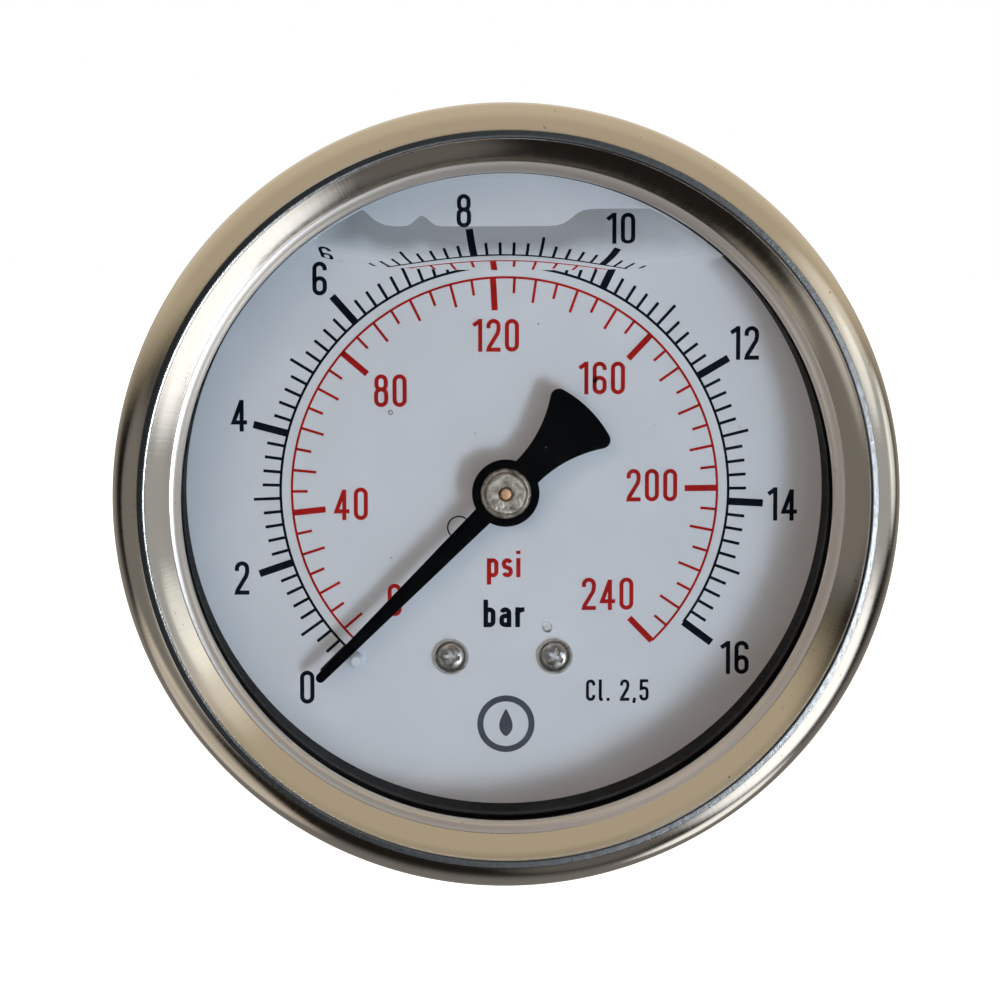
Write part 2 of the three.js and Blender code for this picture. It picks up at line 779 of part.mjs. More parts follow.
const backPlateHoles = [...plateScrewPoints, ...mountScrewPoints];
add("movement_back_plate", buildPlate(backPlateFront, backPlateBack - fit, backPlateHoles), brass);
add("movement_front_plate", buildPlate(frontPlateFront, frontPlateBack, plateScrewPoints), brass);
add("hairspring", buildHairspring(), copper);
add("hairspring_stud", buildStud(), brass);
sides.forEach((side, i) => {
  const head = { sign: -1, headRadius: 1.3, headHeight: 0.8, shankRadius: 0.78 };
  const front = { at: plateScrewPoints[i], seat: frontPlateFront - fit, shankLength: 4, cross: false };
  const mount = { at: mountScrewPoints[i], seat: backPlateFront - fit, shankLength: 4.5, cross: false };
  add(`movement_pillar_${side}`, buildPillar(plateScrewPoints[i]), brass);
  add(`plate_screw_${side}`, screw({ ...head, ...front }), nickel);
  add(`mount_screw_${side}`, screw({ ...head, ...mount }), nickel);
});

export default gauge;
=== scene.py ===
import math
import random

import bmesh
import bpy
from mathutils import Matrix, Vector


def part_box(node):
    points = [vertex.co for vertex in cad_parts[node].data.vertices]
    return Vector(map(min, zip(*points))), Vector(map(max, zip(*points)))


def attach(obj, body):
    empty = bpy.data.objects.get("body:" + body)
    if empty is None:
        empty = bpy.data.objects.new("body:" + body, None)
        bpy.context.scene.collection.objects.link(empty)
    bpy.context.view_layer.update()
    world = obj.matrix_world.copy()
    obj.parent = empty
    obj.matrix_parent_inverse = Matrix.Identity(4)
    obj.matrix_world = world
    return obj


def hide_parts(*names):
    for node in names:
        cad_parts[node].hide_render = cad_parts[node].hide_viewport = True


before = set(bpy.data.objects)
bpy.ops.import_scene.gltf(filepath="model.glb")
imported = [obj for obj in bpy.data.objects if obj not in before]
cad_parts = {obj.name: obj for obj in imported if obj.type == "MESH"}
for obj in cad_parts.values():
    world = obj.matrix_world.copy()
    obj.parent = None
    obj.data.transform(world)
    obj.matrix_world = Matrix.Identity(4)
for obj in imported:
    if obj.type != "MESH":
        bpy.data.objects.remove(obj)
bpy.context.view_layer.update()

MM = 0.001
TAU = 2 * math.pi


def millimetres(node):
    """Lowest and highest corner of a CAD node, in millimetres."""
    low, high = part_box(node)
    return Vector(low) / MM, Vector(high) / MM


def middle_of(node):
    """(x, z) of the middle of a CAD node."""
    low, high = millimetres(node)
    return (low.x + high.x) / 2, (low.z + high.z) / 2


# ---- Places and sizes taken from the frame ----
BEZEL_LOW, BEZEL_HIGH = millimetres("bezel_ring")
BEZEL_R = BEZEL_HIGH.x
BEZEL_FRONT = BEZEL_LOW.y
BEZEL_BACK = BEZEL_HIGH.y
WINDOW_LOW, WINDOW_HIGH = millimetres("window")
WINDOW_FRONT = WINDOW_LOW.y
WINDOW_BACK = WINDOW_HIGH.y
WINDOW_R = WINDOW_HIGH.x
CASE_LOW, CASE_HIGH = millimetres("case")
DIAL_LOW, DIAL_HIGH = millimetres("dial")
DIAL_FRONT = DIAL_LOW.y
DIAL_R = DIAL_HIGH.x
GASKET_LOW, GASKET_HIGH = millimetres("window_gasket")
GASKET_R = 27.95  # its inner radius, just inside the lip
HUB_LOW, HUB_HIGH = millimetres("pointer_hub")
LIP_CREASE_Y = BEZEL_FRONT + 1.84
SHEET = 0.6

# ---- Camera ----
CAMERA_DISTANCE = 320
CAMERA_ELEVATION = math.radians(6.5)
CAMERA_AZIMUTH = math.radians(-1.8)
CAMERA_AIM = Vector((-0.7, -55.0, 0.11))
LENS = 134.4


def add_object(name, data):
    obj = bpy.data.objects.new(name, data)
    bpy.context.scene.collection.objects.link(obj)
    return obj


def make_camera():
    data = bpy.data.cameras.new("camera")
    data.lens = LENS
    data.clip_start = 0.01
    data.clip_end = 20
    camera = add_object("camera", data)
    flat = math.cos(CAMERA_ELEVATION)
    back = Vector((
        math.sin(CAMERA_AZIMUTH) * flat,
        -math.cos(CAMERA_AZIMUTH) * flat,
        math.sin(CAMERA_ELEVATION),
    ))
    camera.location = (CAMERA_AIM + back * CAMERA_DISTANCE) * MM
    camera.rotation_mode = "QUATERNION"
    camera.rotation_quaternion = (-back).to_track_quat("-Z", "Y")
    bpy.context.scene.camera = camera


make_camera()

# ---- Mesh helpers ----


def link(name, mesh, material, body, replaces=()):
    mesh.materials.append(material)
    obj = add_object(name, mesh)
    # Large flat faces keep flat normals beside rounded edges, so that clear parts don't act as lenses.
    normals = obj.modifiers.new("normals", "WEIGHTED_NORMAL")
    normals.keep_sharp = True
    normals.weight = 100
    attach(obj, body)
    if replaces:
        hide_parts(*replaces)
    return obj


def from_bmesh(name, bm, sharp=35):
    """A mesh in metres from a bmesh in millimetres, smooth except at sharp edges."""
    bmesh.ops.recalc_face_normals(bm, faces=bm.faces)
    bmesh.ops.scale(bm, vec=(MM, MM, MM), verts=bm.verts)
    mesh = bpy.data.meshes.new(name)
    bm.to_mesh(mesh)
    bm.free()
    for face in mesh.polygons:
        face.use_smooth = True
    mesh.set_sharp_from_angle(angle=math.radians(sharp))
    return mesh


def arc(radius, y, size, start, end, steps=8):
    """Points of (radius, y) along an arc; angles in degrees, 0 outwards and 90 towards +Y."""
    points = []
    for i in range(steps + 1):
        angle = math.radians(start + (end - start) * i / steps)
        points.append((radius + size * math.cos(angle), y + size * math.sin(angle)))
    return points


def smooth_line(points, steps=8):
    """Catmull-Rom curve through the points."""
    ends = [points[0]] + list(points) + [points[-1]]
    curve = []
    for a, b, c, d in zip(ends, ends[1:], ends[2:], ends[3:]):
        for i in range(steps):
            t = i / steps
            curve.append(tuple(
                0.5 * (2 * q + (r - p) * t + (2 * p - 5 * q + 4 * r - s) * t * t
                       + (3 * q - p - 3 * r + s) * t ** 3)
                for p, q, r, s in zip(a, b, c, d)
            ))
    curve.append(tuple(points[-1]))
    return curve


def rounded(points, size=0.1, steps=3):
    """Cuts each corner of a closed outline back and rounds it. A corner on the axis stays."""
    result = []
    count = len(points)
    for i, corner in enumerate(points):
        here = Vector(corner)
        before = Vector(points[i - 1]) - here
        after = Vector(points[(i + 1) % count]) - here
        if here.x < 1e-6 or before.length < 1e-6 or after.length < 1e-6:
            result.append(tuple(here))
            continue
        cut = min(size, before.length * 0.45, after.length * 0.45)
        start = here + before.normalized() * cut
        end = here + after.normalized() * cut
        for step in range(steps + 1):
            t = step / steps
            point = start * (1 - t) ** 2 + here * 2 * t * (1 - t) + end * t * t
            result.append(tuple(point))
    return result


def circle(bm, radius, y, segments, centre=(0, 0)):
    """A ring of vertices round a line along Y through centre (x, z)."""
    return [
        bm.verts.new((
            centre[0] + radius * math.cos(TAU * i / segments),
            y,
            centre[1] + radius * math.sin(TAU * i / segments),
        ))
        for i in range(segments)
    ]


def wall(bm, first, second, closed=True):
    """Faces between two lines of vertices, one vertex to one."""
    count = len(first)
    for i in range(count if closed else count - 1):
        j = (i + 1) % count
        bm.faces.new((first[i], first[j], second[j], second[i]))


def grid(bm, columns):
    """Faces between neighbouring columns of vertices."""
    for first, second in zip(columns, columns[1:]):
        for k in range(len(first) - 1):
            bm.faces.new((first[k], second[k], second[k + 1], first[k + 1]))


def revolve(bm, profile, segments=128, centre=(0, 0), closed=True):
    """Revolves (radius, y) points about a line along Y through centre (x, z)."""
    rings = []
    for radius, y in profile:
        if radius < 1e-6:
            rings.append([bm.verts.new((centre[0], y, centre[1]))])
        else:
            rings.append(circle(bm, radius, y, segments, centre))
    pairs = list(zip(rings, rings[1:]))
    if closed and len(rings[0]) > 1:
        pairs.append((rings[-1], rings[0]))
    for first, second in pairs:
        for i in range(segments):
            j = (i + 1) % segments
            corners = [first[i % len(first)], first[j % len(first)],
                       second[j % len(second)], second[i % len(second)]]
            unique = list(dict.fromkeys(corners))
            if len(unique) > 2:
                bm.faces.new(unique)


def turned(name, profile, material, body, replaces=(), segments=128, centre=(0, 0), sharp=35):
    bm = bmesh.new()
    revolve(bm, profile, segments, centre)
    return link(name, from_bmesh(name, bm, sharp), material, body, replaces)


def add_box(bm, low, high):
    made = bmesh.ops.create_cube(bm, size=1)["verts"]
    bmesh.ops.scale(bm, vec=Vector(high) - Vector(low), verts=made)
    bmesh.ops.translate(bm, vec=(Vector(high) + Vector(low)) / 2, verts=made)


def spin(bm, degrees, axis, verts):
    turn = Matrix.Rotation(math.radians(degrees), 3, axis)
    bmesh.ops.rotate(bm, cent=(0, 0, 0), matrix=turn, verts=verts)


def add_bevel(obj, width, segments=2, sharp=30):
    """Rounds the edges that are sharper than an angle in degrees."""
    bevel = obj.modifiers.new("bevel", "BEVEL")
    bevel.width = width * MM
    bevel.segments = segments
    bevel.limit_method = "ANGLE"
    bevel.angle_limit = math.radians(sharp)


def carve(obj, cutter_bm, operation, use_self, bevel):
    """Cuts an object with a closed bmesh and rounds it. bevel is (width, segments, angle)."""
    name = obj.name + "_cutter"
    cutter = add_object(name, from_bmesh(name, cutter_bm))
    cut = obj.modifiers.new("cut", "BOOLEAN")
    cut.operation = operation
    cut.solver = "EXACT"
    cut.use_self = use_self
    cut.object = cutter
    add_bevel(obj, *bevel)
    evaluated = obj.evaluated_get(bpy.context.evaluated_depsgraph_get())
    mesh = bpy.data.meshes.new_from_object(evaluated)
    obj.modifiers.clear()
    obj.data = mesh
    bpy.data.objects.remove(cutter)


# ---- Material helpers ----


class Nodes:
    """Makes and joins the nodes of a tree."""

    def __init__(self, tree):
        self.tree = tree

    def put(self, value, socket):
        """Sets a socket to a constant, or joins another node's output to it."""
        if isinstance(value, bpy.types.NodeSocket):
            self.tree.links.new(value, socket)
        elif isinstance(value, tuple) and len(value) < len(socket.default_value):
            socket.default_value = (*value, 1)
        else:
            socket.default_value = value

    def node(self, kind, inputs=None, **settings):
        """A node. inputs gives sockets, by name or number, a constant or an output."""
        node = self.tree.nodes.new(kind)
        for key, value in settings.items():
            setattr(node, key, value)
        for key, value in (inputs or {}).items():
            self.put(value, node.inputs[key])
        return node

    def vector(self, operation, inputs):
        return self.node("ShaderNodeVectorMath", inputs, operation=operation)

    def map_range(self, inputs, **settings):
        return self.node("ShaderNodeMapRange", inputs, **settings).outputs["Result"]

    def switch(self, output_kind, ray, first, second):
        """Output that shows the second shader to rays of one kind and the first to all others."""
        is_ray = self.node("ShaderNodeLightPath").outputs[ray]
        mix = self.node("ShaderNodeMixShader", {0: is_ray, 1: first.outputs[0], 2: second.outputs[0]})
        self.node(output_kind, {"Surface": mix.outputs[0]})

    def position(self):
        """Object position in metres."""
        return self.node("ShaderNodeTexCoord").outputs["Object"]

    def distance(self, scale):
        """Distance from the dial axis, times scale."""
        flat = self.vector("MULTIPLY", {0: self.position(), 1: (scale, 0, scale)})
        return self.vector("LENGTH", {0: flat.outputs["Vector"]}).outputs["Value"]

    def math(self, operation, a, b):
        return self.node("ShaderNodeMath", {0: a, 1: b}, operation=operation).outputs[0]

    def noise(self, vector, scale, detail=3.0, roughness=0.5):
        inputs = {"Vector": vector, "Scale": scale, "Detail": detail, "Roughness": roughness}
        return self.node("ShaderNodeTexNoise", inputs).outputs["Fac"]


class Shader(Nodes):
    """A Principled material."""

    def __init__(self, name, color, roughness, metallic=0.0):
        self.material = bpy.data.materials.new(name)
        self.material.use_nodes = True
        super().__init__(self.material.node_tree)
        self.principled = self.tree.nodes["Principled BSDF"]
        self.feed("Base Color", color)
        self.feed("Roughness", roughness)
        self.feed("Metallic", metallic)

    def feed(self, name, value):
        """Gives a socket of the shader itself a constant or another node's output."""
        self.put(value, self.principled.inputs[name])

    def polar(self, around, along, outwards):
        """Object position as (turn about Y, y, distance from Y), each with its own scale."""
        split = self.node("ShaderNodeSeparateXYZ", {0: self.position()})
        turn = self.math("ARCTAN2", split.outputs["Z"], split.outputs["X"])
        join = self.node("ShaderNodeCombineXYZ", {
            "X": self.math("MULTIPLY", turn, around),
            "Y": self.math("MULTIPLY", split.outputs["Y"], along),
            "Z": self.distance(outwards),
        })
        return join.outputs[0]

    def step(self, value, off, on):
        """0 at off, 1 at on, smooth between."""
        rising = off < on
        return self.map_range({
            "Value": value,
            "From Min": min(off, on),
            "From Max": max(off, on),
            "To Min": 0.0 if rising else 1.0,
            "To Max": 1.0 if rising else 0.0,
        }, interpolation_type="SMOOTHSTEP")

    def ramp(self, value, stops):
        """Colour ramp with two stops."""
        node = self.node("ShaderNodeValToRGB", {"Fac": value})
        for element, (place, color) in zip(node.color_ramp.elements, stops):
            element.position = place
            element.color = (*color, 1)
        return node.outputs["Color"]

    def grey_ramp(self, value, stops):
        return self.ramp(value, [(place, (level,) * 3) for place, level in stops])

    def mix(self, factor, a, b):
        """Colour a where the factor is 0, b where it is 1."""
        return self.node("ShaderNodeMix", {"Factor": factor, 6: a, 7: b}, data_type="RGBA").outputs[2]

    def bump(self, height, strength, distance):
        """Adds a bump on top of any earlier one. Distance is in metres."""
        inputs = {"Strength": strength, "Distance": distance, "Height": height}
        earlier = self.principled.inputs["Normal"].links
        if earlier:
            inputs["Normal"] = earlier[0].from_socket
        self.feed("Normal", self.node("ShaderNodeBump", inputs).outputs[0])


# ---- Materials ----


# Paint under glycerine hardly shines: its index is close to the liquid's.
IOR_IN_LIQUID = 1.08


def polished_steel():
    """Bezel: polished sheet with a satin lip, a worn crest, fine scratches and dark specks."""
    s = Shader("polished_steel", (0.7, 0.67, 0.62), 0.1, 1)
    fine = s.noise(s.polar(6, 2500, 9000), 1, 2)
    scratches = s.noise(s.polar(160, 300, 300), 1, 4, 0.6)
    smear = s.noise(s.position(), 160, 4, 0.6)
    wear = s.noise(s.position(), 1500, 4, 0.7)
    specks = s.noise(s.position(), 2900, 2, 0.5)
    dirt = s.grey_ramp(specks, [(0.74, 0.0), (0.78, 1.0)])
    s.feed("Base Color", s.mix(dirt, (0.7, 0.675, 0.63), (0.12, 0.09, 0.06)))
    distance = s.distance(1000)
    lip = s.step(distance, 29.15, 28.95)
    crest = s.math("MULTIPLY", s.step(distance, 30.9, 31.02), s.step(distance, 32.1, 31.75))
    streaks = s.grey_ramp(scratches, [(0.35, 0.08), (0.7, 0.17)])
    rough = s.mix(s.math("MULTIPLY", smear, 0.4), streaks, (0.16, 0.16, 0.16))
    rough = s.mix(crest, rough, (0.2, 0.2, 0.2))
    rough = s.mix(lip, rough, (0.3, 0.3, 0.3))
    s.feed("Roughness", rough)
    s.feed("Metallic", s.grey_ramp(lip, [(0.0, 1.0), (1.0, 0.5)]))
    s.bump(fine, 0.05, 2e-5)
    s.bump(scratches, 0.1, 3e-5)
    s.bump(smear, 0.08, 1e-4)
    s.bump(s.math("MULTIPLY", wear, s.math("MAXIMUM", crest, lip)), 0.35, 3e-5)
    return s.material


def satin_steel():
    """Case: drawn sheet with lines round the axis."""
    s = Shader("satin_steel", (0.6, 0.58, 0.55), 0.3, 1)
    lines = s.noise(s.polar(3, 6000, 6000), 1, 3)
    blotch = s.noise(s.position(), 90, 3)
    s.feed("Roughness", s.grey_ramp(blotch, [(0.3, 0.24), (0.7, 0.38)]))
    s.bump(lines, 0.15, 2e-5)
    return s.material


def worn_metal(name, color, dark, roughness, pits=0.5, metallic=0.6):
    """Turned or cast metal with soft stains and small pits, dull enough to take the lamps' light."""
    s = Shader(name, color, roughness, metallic)
    stain = s.noise(s.position(), 1300, 5, 0.6)
    s.feed("Base Color", s.ramp(stain, [(0.3, dark), (0.62, color)]))
    low, high = roughness * 0.75, min(1, roughness * 1.5)
    s.feed("Roughness", s.grey_ramp(stain, [(0.3, high), (0.7, low)]))
    grain = s.noise(s.position(), 3500, 3, 0.6)
    s.bump(grain, pits, 4e-5)
    s.bump(stain, pits, 1e-4)
    return s.material


def machined(name, color, roughness):
    """Machined metal with tool marks round the axis."""
    s = Shader(name, color, roughness, 1)
    marks = s.noise(s.polar(2, 9000, 9000), 1, 2)
    tone = s.noise(s.position(), 250, 4)
    deep = tuple(c * 0.72 for c in color)
    s.feed("Base Color", s.ramp(tone, [(0.3, deep), (0.7, color)]))
    low, high = roughness * 0.8, roughness * 1.3
    s.feed("Roughness", s.grey_ramp(tone, [(0.3, high), (0.7, low)]))
    s.bump(marks, 0.2, 2e-5)
    return s.material


def enamel(name, color, roughness, variation=0.04, bump=0.03):
    """Painted sheet: faint mottling and a slight texture."""
    s = Shader(name, color, roughness)
    mottle = s.noise(s.position(), 220, 5, 0.6)
    deep = tuple(max(0.0, c * (1 - variation)) for c in color)
    s.feed("Base Color", s.ramp(mottle, [(0.35, deep), (0.65, color)]))
    grain = s.noise(s.position(), 6000, 3)
    low, high = roughness * 0.85, roughness * 1.15
    s.feed("Roughness", s.grey_ramp(mottle, [(0.3, low), (0.7, high)]))
    s.bump(grain, bump, 2e-5)
    s.feed("IOR", IOR_IN_LIQUID)
    return s.material


def rubber():
    s = Shader("rubber", (0.003, 0.003, 0.003), 0.6)
    s.feed("IOR", 1.12)
    grain = s.noise(s.position(), 2500, 4, 0.6)
    s.feed("Roughness", s.grey_ramp(grain, [(0.3, 0.45), (0.7, 0.7)]))
    s.bump(grain, 0.25, 4e-5)
    return s.material


def pale_plastic():
    """Moulded nylon: light passes a little way in."""
    s = Shader("pale_plastic", (0.66, 0.69, 0.73), 0.28)
    s.feed("Subsurface Weight", 0.3)
    s.feed("Subsurface Radius", (0.0008, 0.0008, 0.0008))
    s.feed("Subsurface Scale", 0.5)
    cloud = s.noise(s.position(), 1200, 3)
    s.feed("Roughness", s.grey_ramp(cloud, [(0.3, 0.22), (0.7, 0.34)]))
    s.bump(cloud, 0.1, 3e-5)
    return s.material


def clear(name, ior, tint=(1, 1, 1), smears=0.0, painted_shade=False):
    """Glass or liquid that lets lamps through: shadow rays pass straight on.

    With painted shade on, the glass is darkened by the mesh's own "tone" colours for the rays that see it,
    while lamp light passes untinted.
    """
    material = bpy.data.materials.new(name)
    material.use_nodes = True
    s = Nodes(material.node_tree)
    s.tree.nodes.clear()
    glass = s.node("ShaderNodeBsdfGlass", {"Color": tint, "Roughness": 0.0, "IOR": ior})
    # Painted shade: the "tone" colours darken only what is seen through the glass, not the light that
    # passes it.
    if painted_shade:
        tone = s.node("ShaderNodeAttribute", attribute_name="tone").outputs["Fac"]
        s.put(s.map_range({"Value": tone, "To Min": 1.0, "To Max": 0.75}), glass.inputs["Color"])
    if smears:
        height = s.noise(s.position(), 60)
        bump = s.node("ShaderNodeBump", {"Height": height, "Strength": smears, "Distance": 1e-5})
        s.put(bump.outputs[0], glass.inputs["Normal"])
    through = s.node("ShaderNodeBsdfTransparent", {"Color": (0.97, 0.98, 0.985)})
    s.switch("ShaderNodeOutputMaterial", "Is Shadow Ray", glass, through)
    return material


BEZEL_STEEL = polished_steel()
CASE_STEEL = satin_steel()
SCREW_STEEL = machined("screw_steel", (0.6, 0.59, 0.57), 0.25)
BRASS = machined("brass", (0.72, 0.5, 0.22), 0.3)
MOVEMENT_BRASS = machined("movement_brass", (0.76, 0.58, 0.3), 0.28)
COPPER_ALLOY = machined("copper_alloy", (0.62, 0.36, 0.2), 0.3)
ARBOR_METAL = worn_metal("arbor_metal", (0.85, 0.5, 0.28), (0.45, 0.22, 0.1), 0.35)
HUB_METAL = worn_metal("hub_metal", (0.55, 0.48, 0.38), (0.1, 0.075, 0.05), 0.3, 1.0)
NICKEL = worn_metal("nickel", (0.7, 0.65, 0.58), (0.34, 0.29, 0.24), 0.2, 0.12, 0.85)
DIAL_WHITE = enamel("dial_white", (0.76, 0.765, 0.77), 0.45)
POINTER_BLACK = enamel("pointer_black", (0.003, 0.003, 0.0035), 0.4, 0.3, 0.1)
PRINT_BLACK = enamel("print_black", (0.008, 0.011, 0.02), 0.5, 0.4)
PRINT_RED = enamel("print_red", (0.5, 0.018, 0.014), 0.5, 0.25)
PRINT_SLATE = enamel("print_slate", (0.1, 0.11, 0.13), 0.5, 0.25)
RUBBER = rubber()
PALE_PLASTIC = pale_plastic()
WINDOW_CLEAR = clear("window_clear", 1.49, (0.99, 1.0, 1.0), 0.05)
LIQUID_CLEAR = clear("liquid_clear", 1.47, (0.985, 0.99, 1.0))
# Film glass tinted by painted shade: the meniscus' shadow on the dial is painted into it.
FILM_PAINTED_SHADE = clear("film_painted_shade", 1.47, painted_shade=True)
BUBBLE_CLEAR = clear("bubble_clear", 0.68)

# ---- Bezel, case, window and gasket ----


def straight(start, end, steps):
    return [tuple(Vector(start).lerp(Vector(end), i / steps)) for i in range(steps + 1)]


def make_bezel():
    """Rolled sheet ring: rounded lip, creased cone, flat crest, full outer curve."""
    front = BEZEL_FRONT
    outside = smooth_line([
        (31.74, front + 0.03),
        (32.2, front + 0.34),
        (32.7, front + 0.76),
        (33.15, front + 1.27),
        (33.55, front + 1.92),
        (33.84, front + 2.7),
        (BEZEL_R - 0.02, front + 3.6),
        (33.97, BEZEL_BACK - 2.2),
        (33.8, BEZEL_BACK - SHEET),
        (33.15, BEZEL_BACK),
        (31.45, BEZEL_BACK),
    ], 8)
    inside = smooth_line([
        (31.45, BEZEL_BACK - SHEET),
        (33.15, BEZEL_BACK - SHEET),
        (33.3, front + 2.6),
        (32.7, front + 1.4),
        (31.75, front + 0.66),
        (30.8, front + 0.95),
        (29.4, front + 2.25),
        (28.9, front + 2.5),
        (28.5, front + 2.85),
    ], 6)
    lip = smooth_line([
        (28.16, front + 2.9),
        (28.06, front + 2.75),
        (28.12, front + 2.4),
        (28.34, front + 2.12),
        (28.66, front + 1.94),
        (29.0, LIP_CREASE_Y),
    ], 6)
    cone = smooth_line([
        (29.06, LIP_CREASE_Y - 0.03),
        (29.7, front + 1.19),
        (30.35, front + 0.62),
        (30.96, front + 0.16),
    ], 6)
    crest = [(31.0, front + 0.08), (31.05, front + 0.03)] + straight((31.12, front), (31.68, front), 3)
    profile = outside + inside + lip + cone + crest
    turned("bezel", profile, BEZEL_STEEL, "root", ["bezel_ring"], 320, sharp=26)


def make_case():
    """Drawn cup: a hole for the stem, a round corner, and a flange that the bezel grips."""
    outer = 31.0
    inner = outer - SHEET
    corner = 2.6
    hole = 8.4
    back = CASE_HIGH.y
    front = CASE_LOW.y
    profile = [(hole, back)]
    profile += arc(outer - corner, back - corner, corner, 90, 0, 10)
    profile += arc(outer + 0.4, front + SHEET + 0.4, 0.4, 180, 270, 4)
    profile += [(CASE_HIGH.x, front + SHEET), (CASE_HIGH.x, front), (inner + 0.5, front)]
    profile += arc(inner + 0.5, front + 0.5, 0.5, 270, 180, 4)
    profile += arc(outer - corner, back - corner, corner - SHEET, 0, 90, 8)
    profile += [(hole, back - SHEET)]
    turned("case_shell", profile, CASE_STEEL, "root", ["case"], 256)


def make_window():
    profile = rounded([
        (0, WINDOW_FRONT),
        (WINDOW_R, WINDOW_FRONT),
        (WINDOW_R, WINDOW_BACK),
        (0, WINDOW_BACK),
    ], 0.3)
    turned("window_pane", profile, WINDOW_CLEAR, "root", ["window"], 192)


def make_gasket():
    seat = GASKET_LOW.y + 0.6
    outer = 30.25
    profile = rounded([
        (GASKET_R, GASKET_LOW.y),
        (WINDOW_R, GASKET_LOW.y),
        (WINDOW_R, seat),
        (outer, seat),
        (outer, GASKET_HIGH.y),
        (GASKET_R, GASKET_HIGH.y),
    ], 0.15)
    turned("gasket_ring", profile, RUBBER, "root", ["window_gasket"], 192)


make_bezel()
make_case()
make_window()
make_gasket()

# ---- Dial plate ----

DIAL_HOLE_R = 2.0


def make_dial():
    profile = rounded([
        (DIAL_HOLE_R, DIAL_FRONT),
        (DIAL_R, DIAL_FRONT),
        (DIAL_R, DIAL_HIGH.y),
        (DIAL_HOLE_R, DIAL_HIGH.y),
    ], 0.06)
    turned("dial_plate", profile, DIAL_WHITE, "root", ["dial"], 192)


make_dial()

# ---- Printing: every stroke is a thin strip of ink on the dial ----

INK = 0.02  # its thickness
PRINT_SCALE = 0.9875
ZERO_AT = 225.0  # angle of the two zero ticks
BAR_ORIGIN = 232.4  # angle that the even steps count from
BAR_STEP = 16.82  # degrees for 1 bar
PSI_STEP = 1.16  # degrees for 1 psi
BLACK_R = 19.95
BLACK_LONG, BLACK_MIDDLE, BLACK_SHORT = 23.1, 22.35, 21.55  # outer ends of the ticks
BLACK_NUMERALS = (23.5, 3.0)  # radius they clear, and height
RED_R = 18.95
RED_LONG, RED_MIDDLE, RED_SHORT = 16.05, 16.85, 17.55  # inner ends of the ticks
RED_NUMERALS = (15.4, 2.92)


class Ink:
    """Collects strips of ink, then becomes one piece."""

    def __init__(self):
        self.bm = bmesh.new()
        self.strips = 0

    def quad_strip(self, left, right, closed=False):
        """Solid strip between two lines of (x, z) points. Crossing strips differ in height."""
        lift = 0.0015 * (self.strips % 5)
        self.strips += 1
        front, back = DIAL_FRONT - INK - lift, DIAL_FRONT - 0.002
        rows = []
        for a, b in zip(left, right):
            rows.append([
                self.bm.verts.new((x * PRINT_SCALE, y, z * PRINT_SCALE))
                for (x, z), y in ((a, front), (b, front), (b, back), (a, back))
            ])
        pairs = list(zip(rows, rows[1:]))
        if closed:
            pairs.append((rows[-1], rows[0]))
        else:
            self.bm.faces.new(rows[0])
            self.bm.faces.new(rows[-1][::-1])
        for first, second in pairs:
            wall(self.bm, first, second)

    def line(self, points, width, closed=False):
        """Strip of even width along points, with mitred corners."""
        points = [Vector(p) for p in points]
        points = [p for i, p in enumerate(points) if i == 0 or (p - points[i - 1]).length > 1e-4]
        if closed and (points[0] - points[-1]).length < 1e-4:
            points.pop()
        count = len(points)
        left, right = [], []
        for i, here in enumerate(points):
            before = points[i - 1] if i or closed else None
            after = points[(i + 1) % count] if i < count - 1 or closed else None
            directions = []
            if before is not None:
                directions.append((here - before).normalized())
            if after is not None:
                directions.append((after - here).normalized())
            middle = sum(directions, Vector((0, 0))).normalized()
            normal = Vector((-middle.y, middle.x))
            own = Vector((-directions[0].y, directions[0].x))
            reach = width / 2 / max(normal.dot(own), 0.4)
            left.append(here + normal * reach)
            right.append(here - normal * reach)
        self.quad_strip(left, right, closed)

    def tick(self, angle, inner, outer, width):
        way = Vector((math.cos(math.radians(angle)), math.sin(math.radians(angle))))
        self.line([way * inner, way * outer], width)

    def ring(self, radius, start, end, width, centre=(0, 0), steps=None):
        steps = steps or max(8, int(abs(end - start)))
        points = bend(*centre, radius, radius, start, end, steps)
        closed = abs(abs(end - start) - 360) < 1e-6
        if closed:
            points.pop()
        self.line(points, width, closed)

    def finish(self, name, material, slot):
        link(name, from_bmesh(name, self.bm, 30), material, "root")


def bend(cx, cy, rx, ry, start, end, steps=10):
    """Points of an elliptical arc."""
    points = []
    for i in range(steps + 1):
        angle = math.radians(start + (end - start) * i / steps)
        points.append((cx + rx * math.cos(angle), cy + ry * math.sin(angle)))
    return points


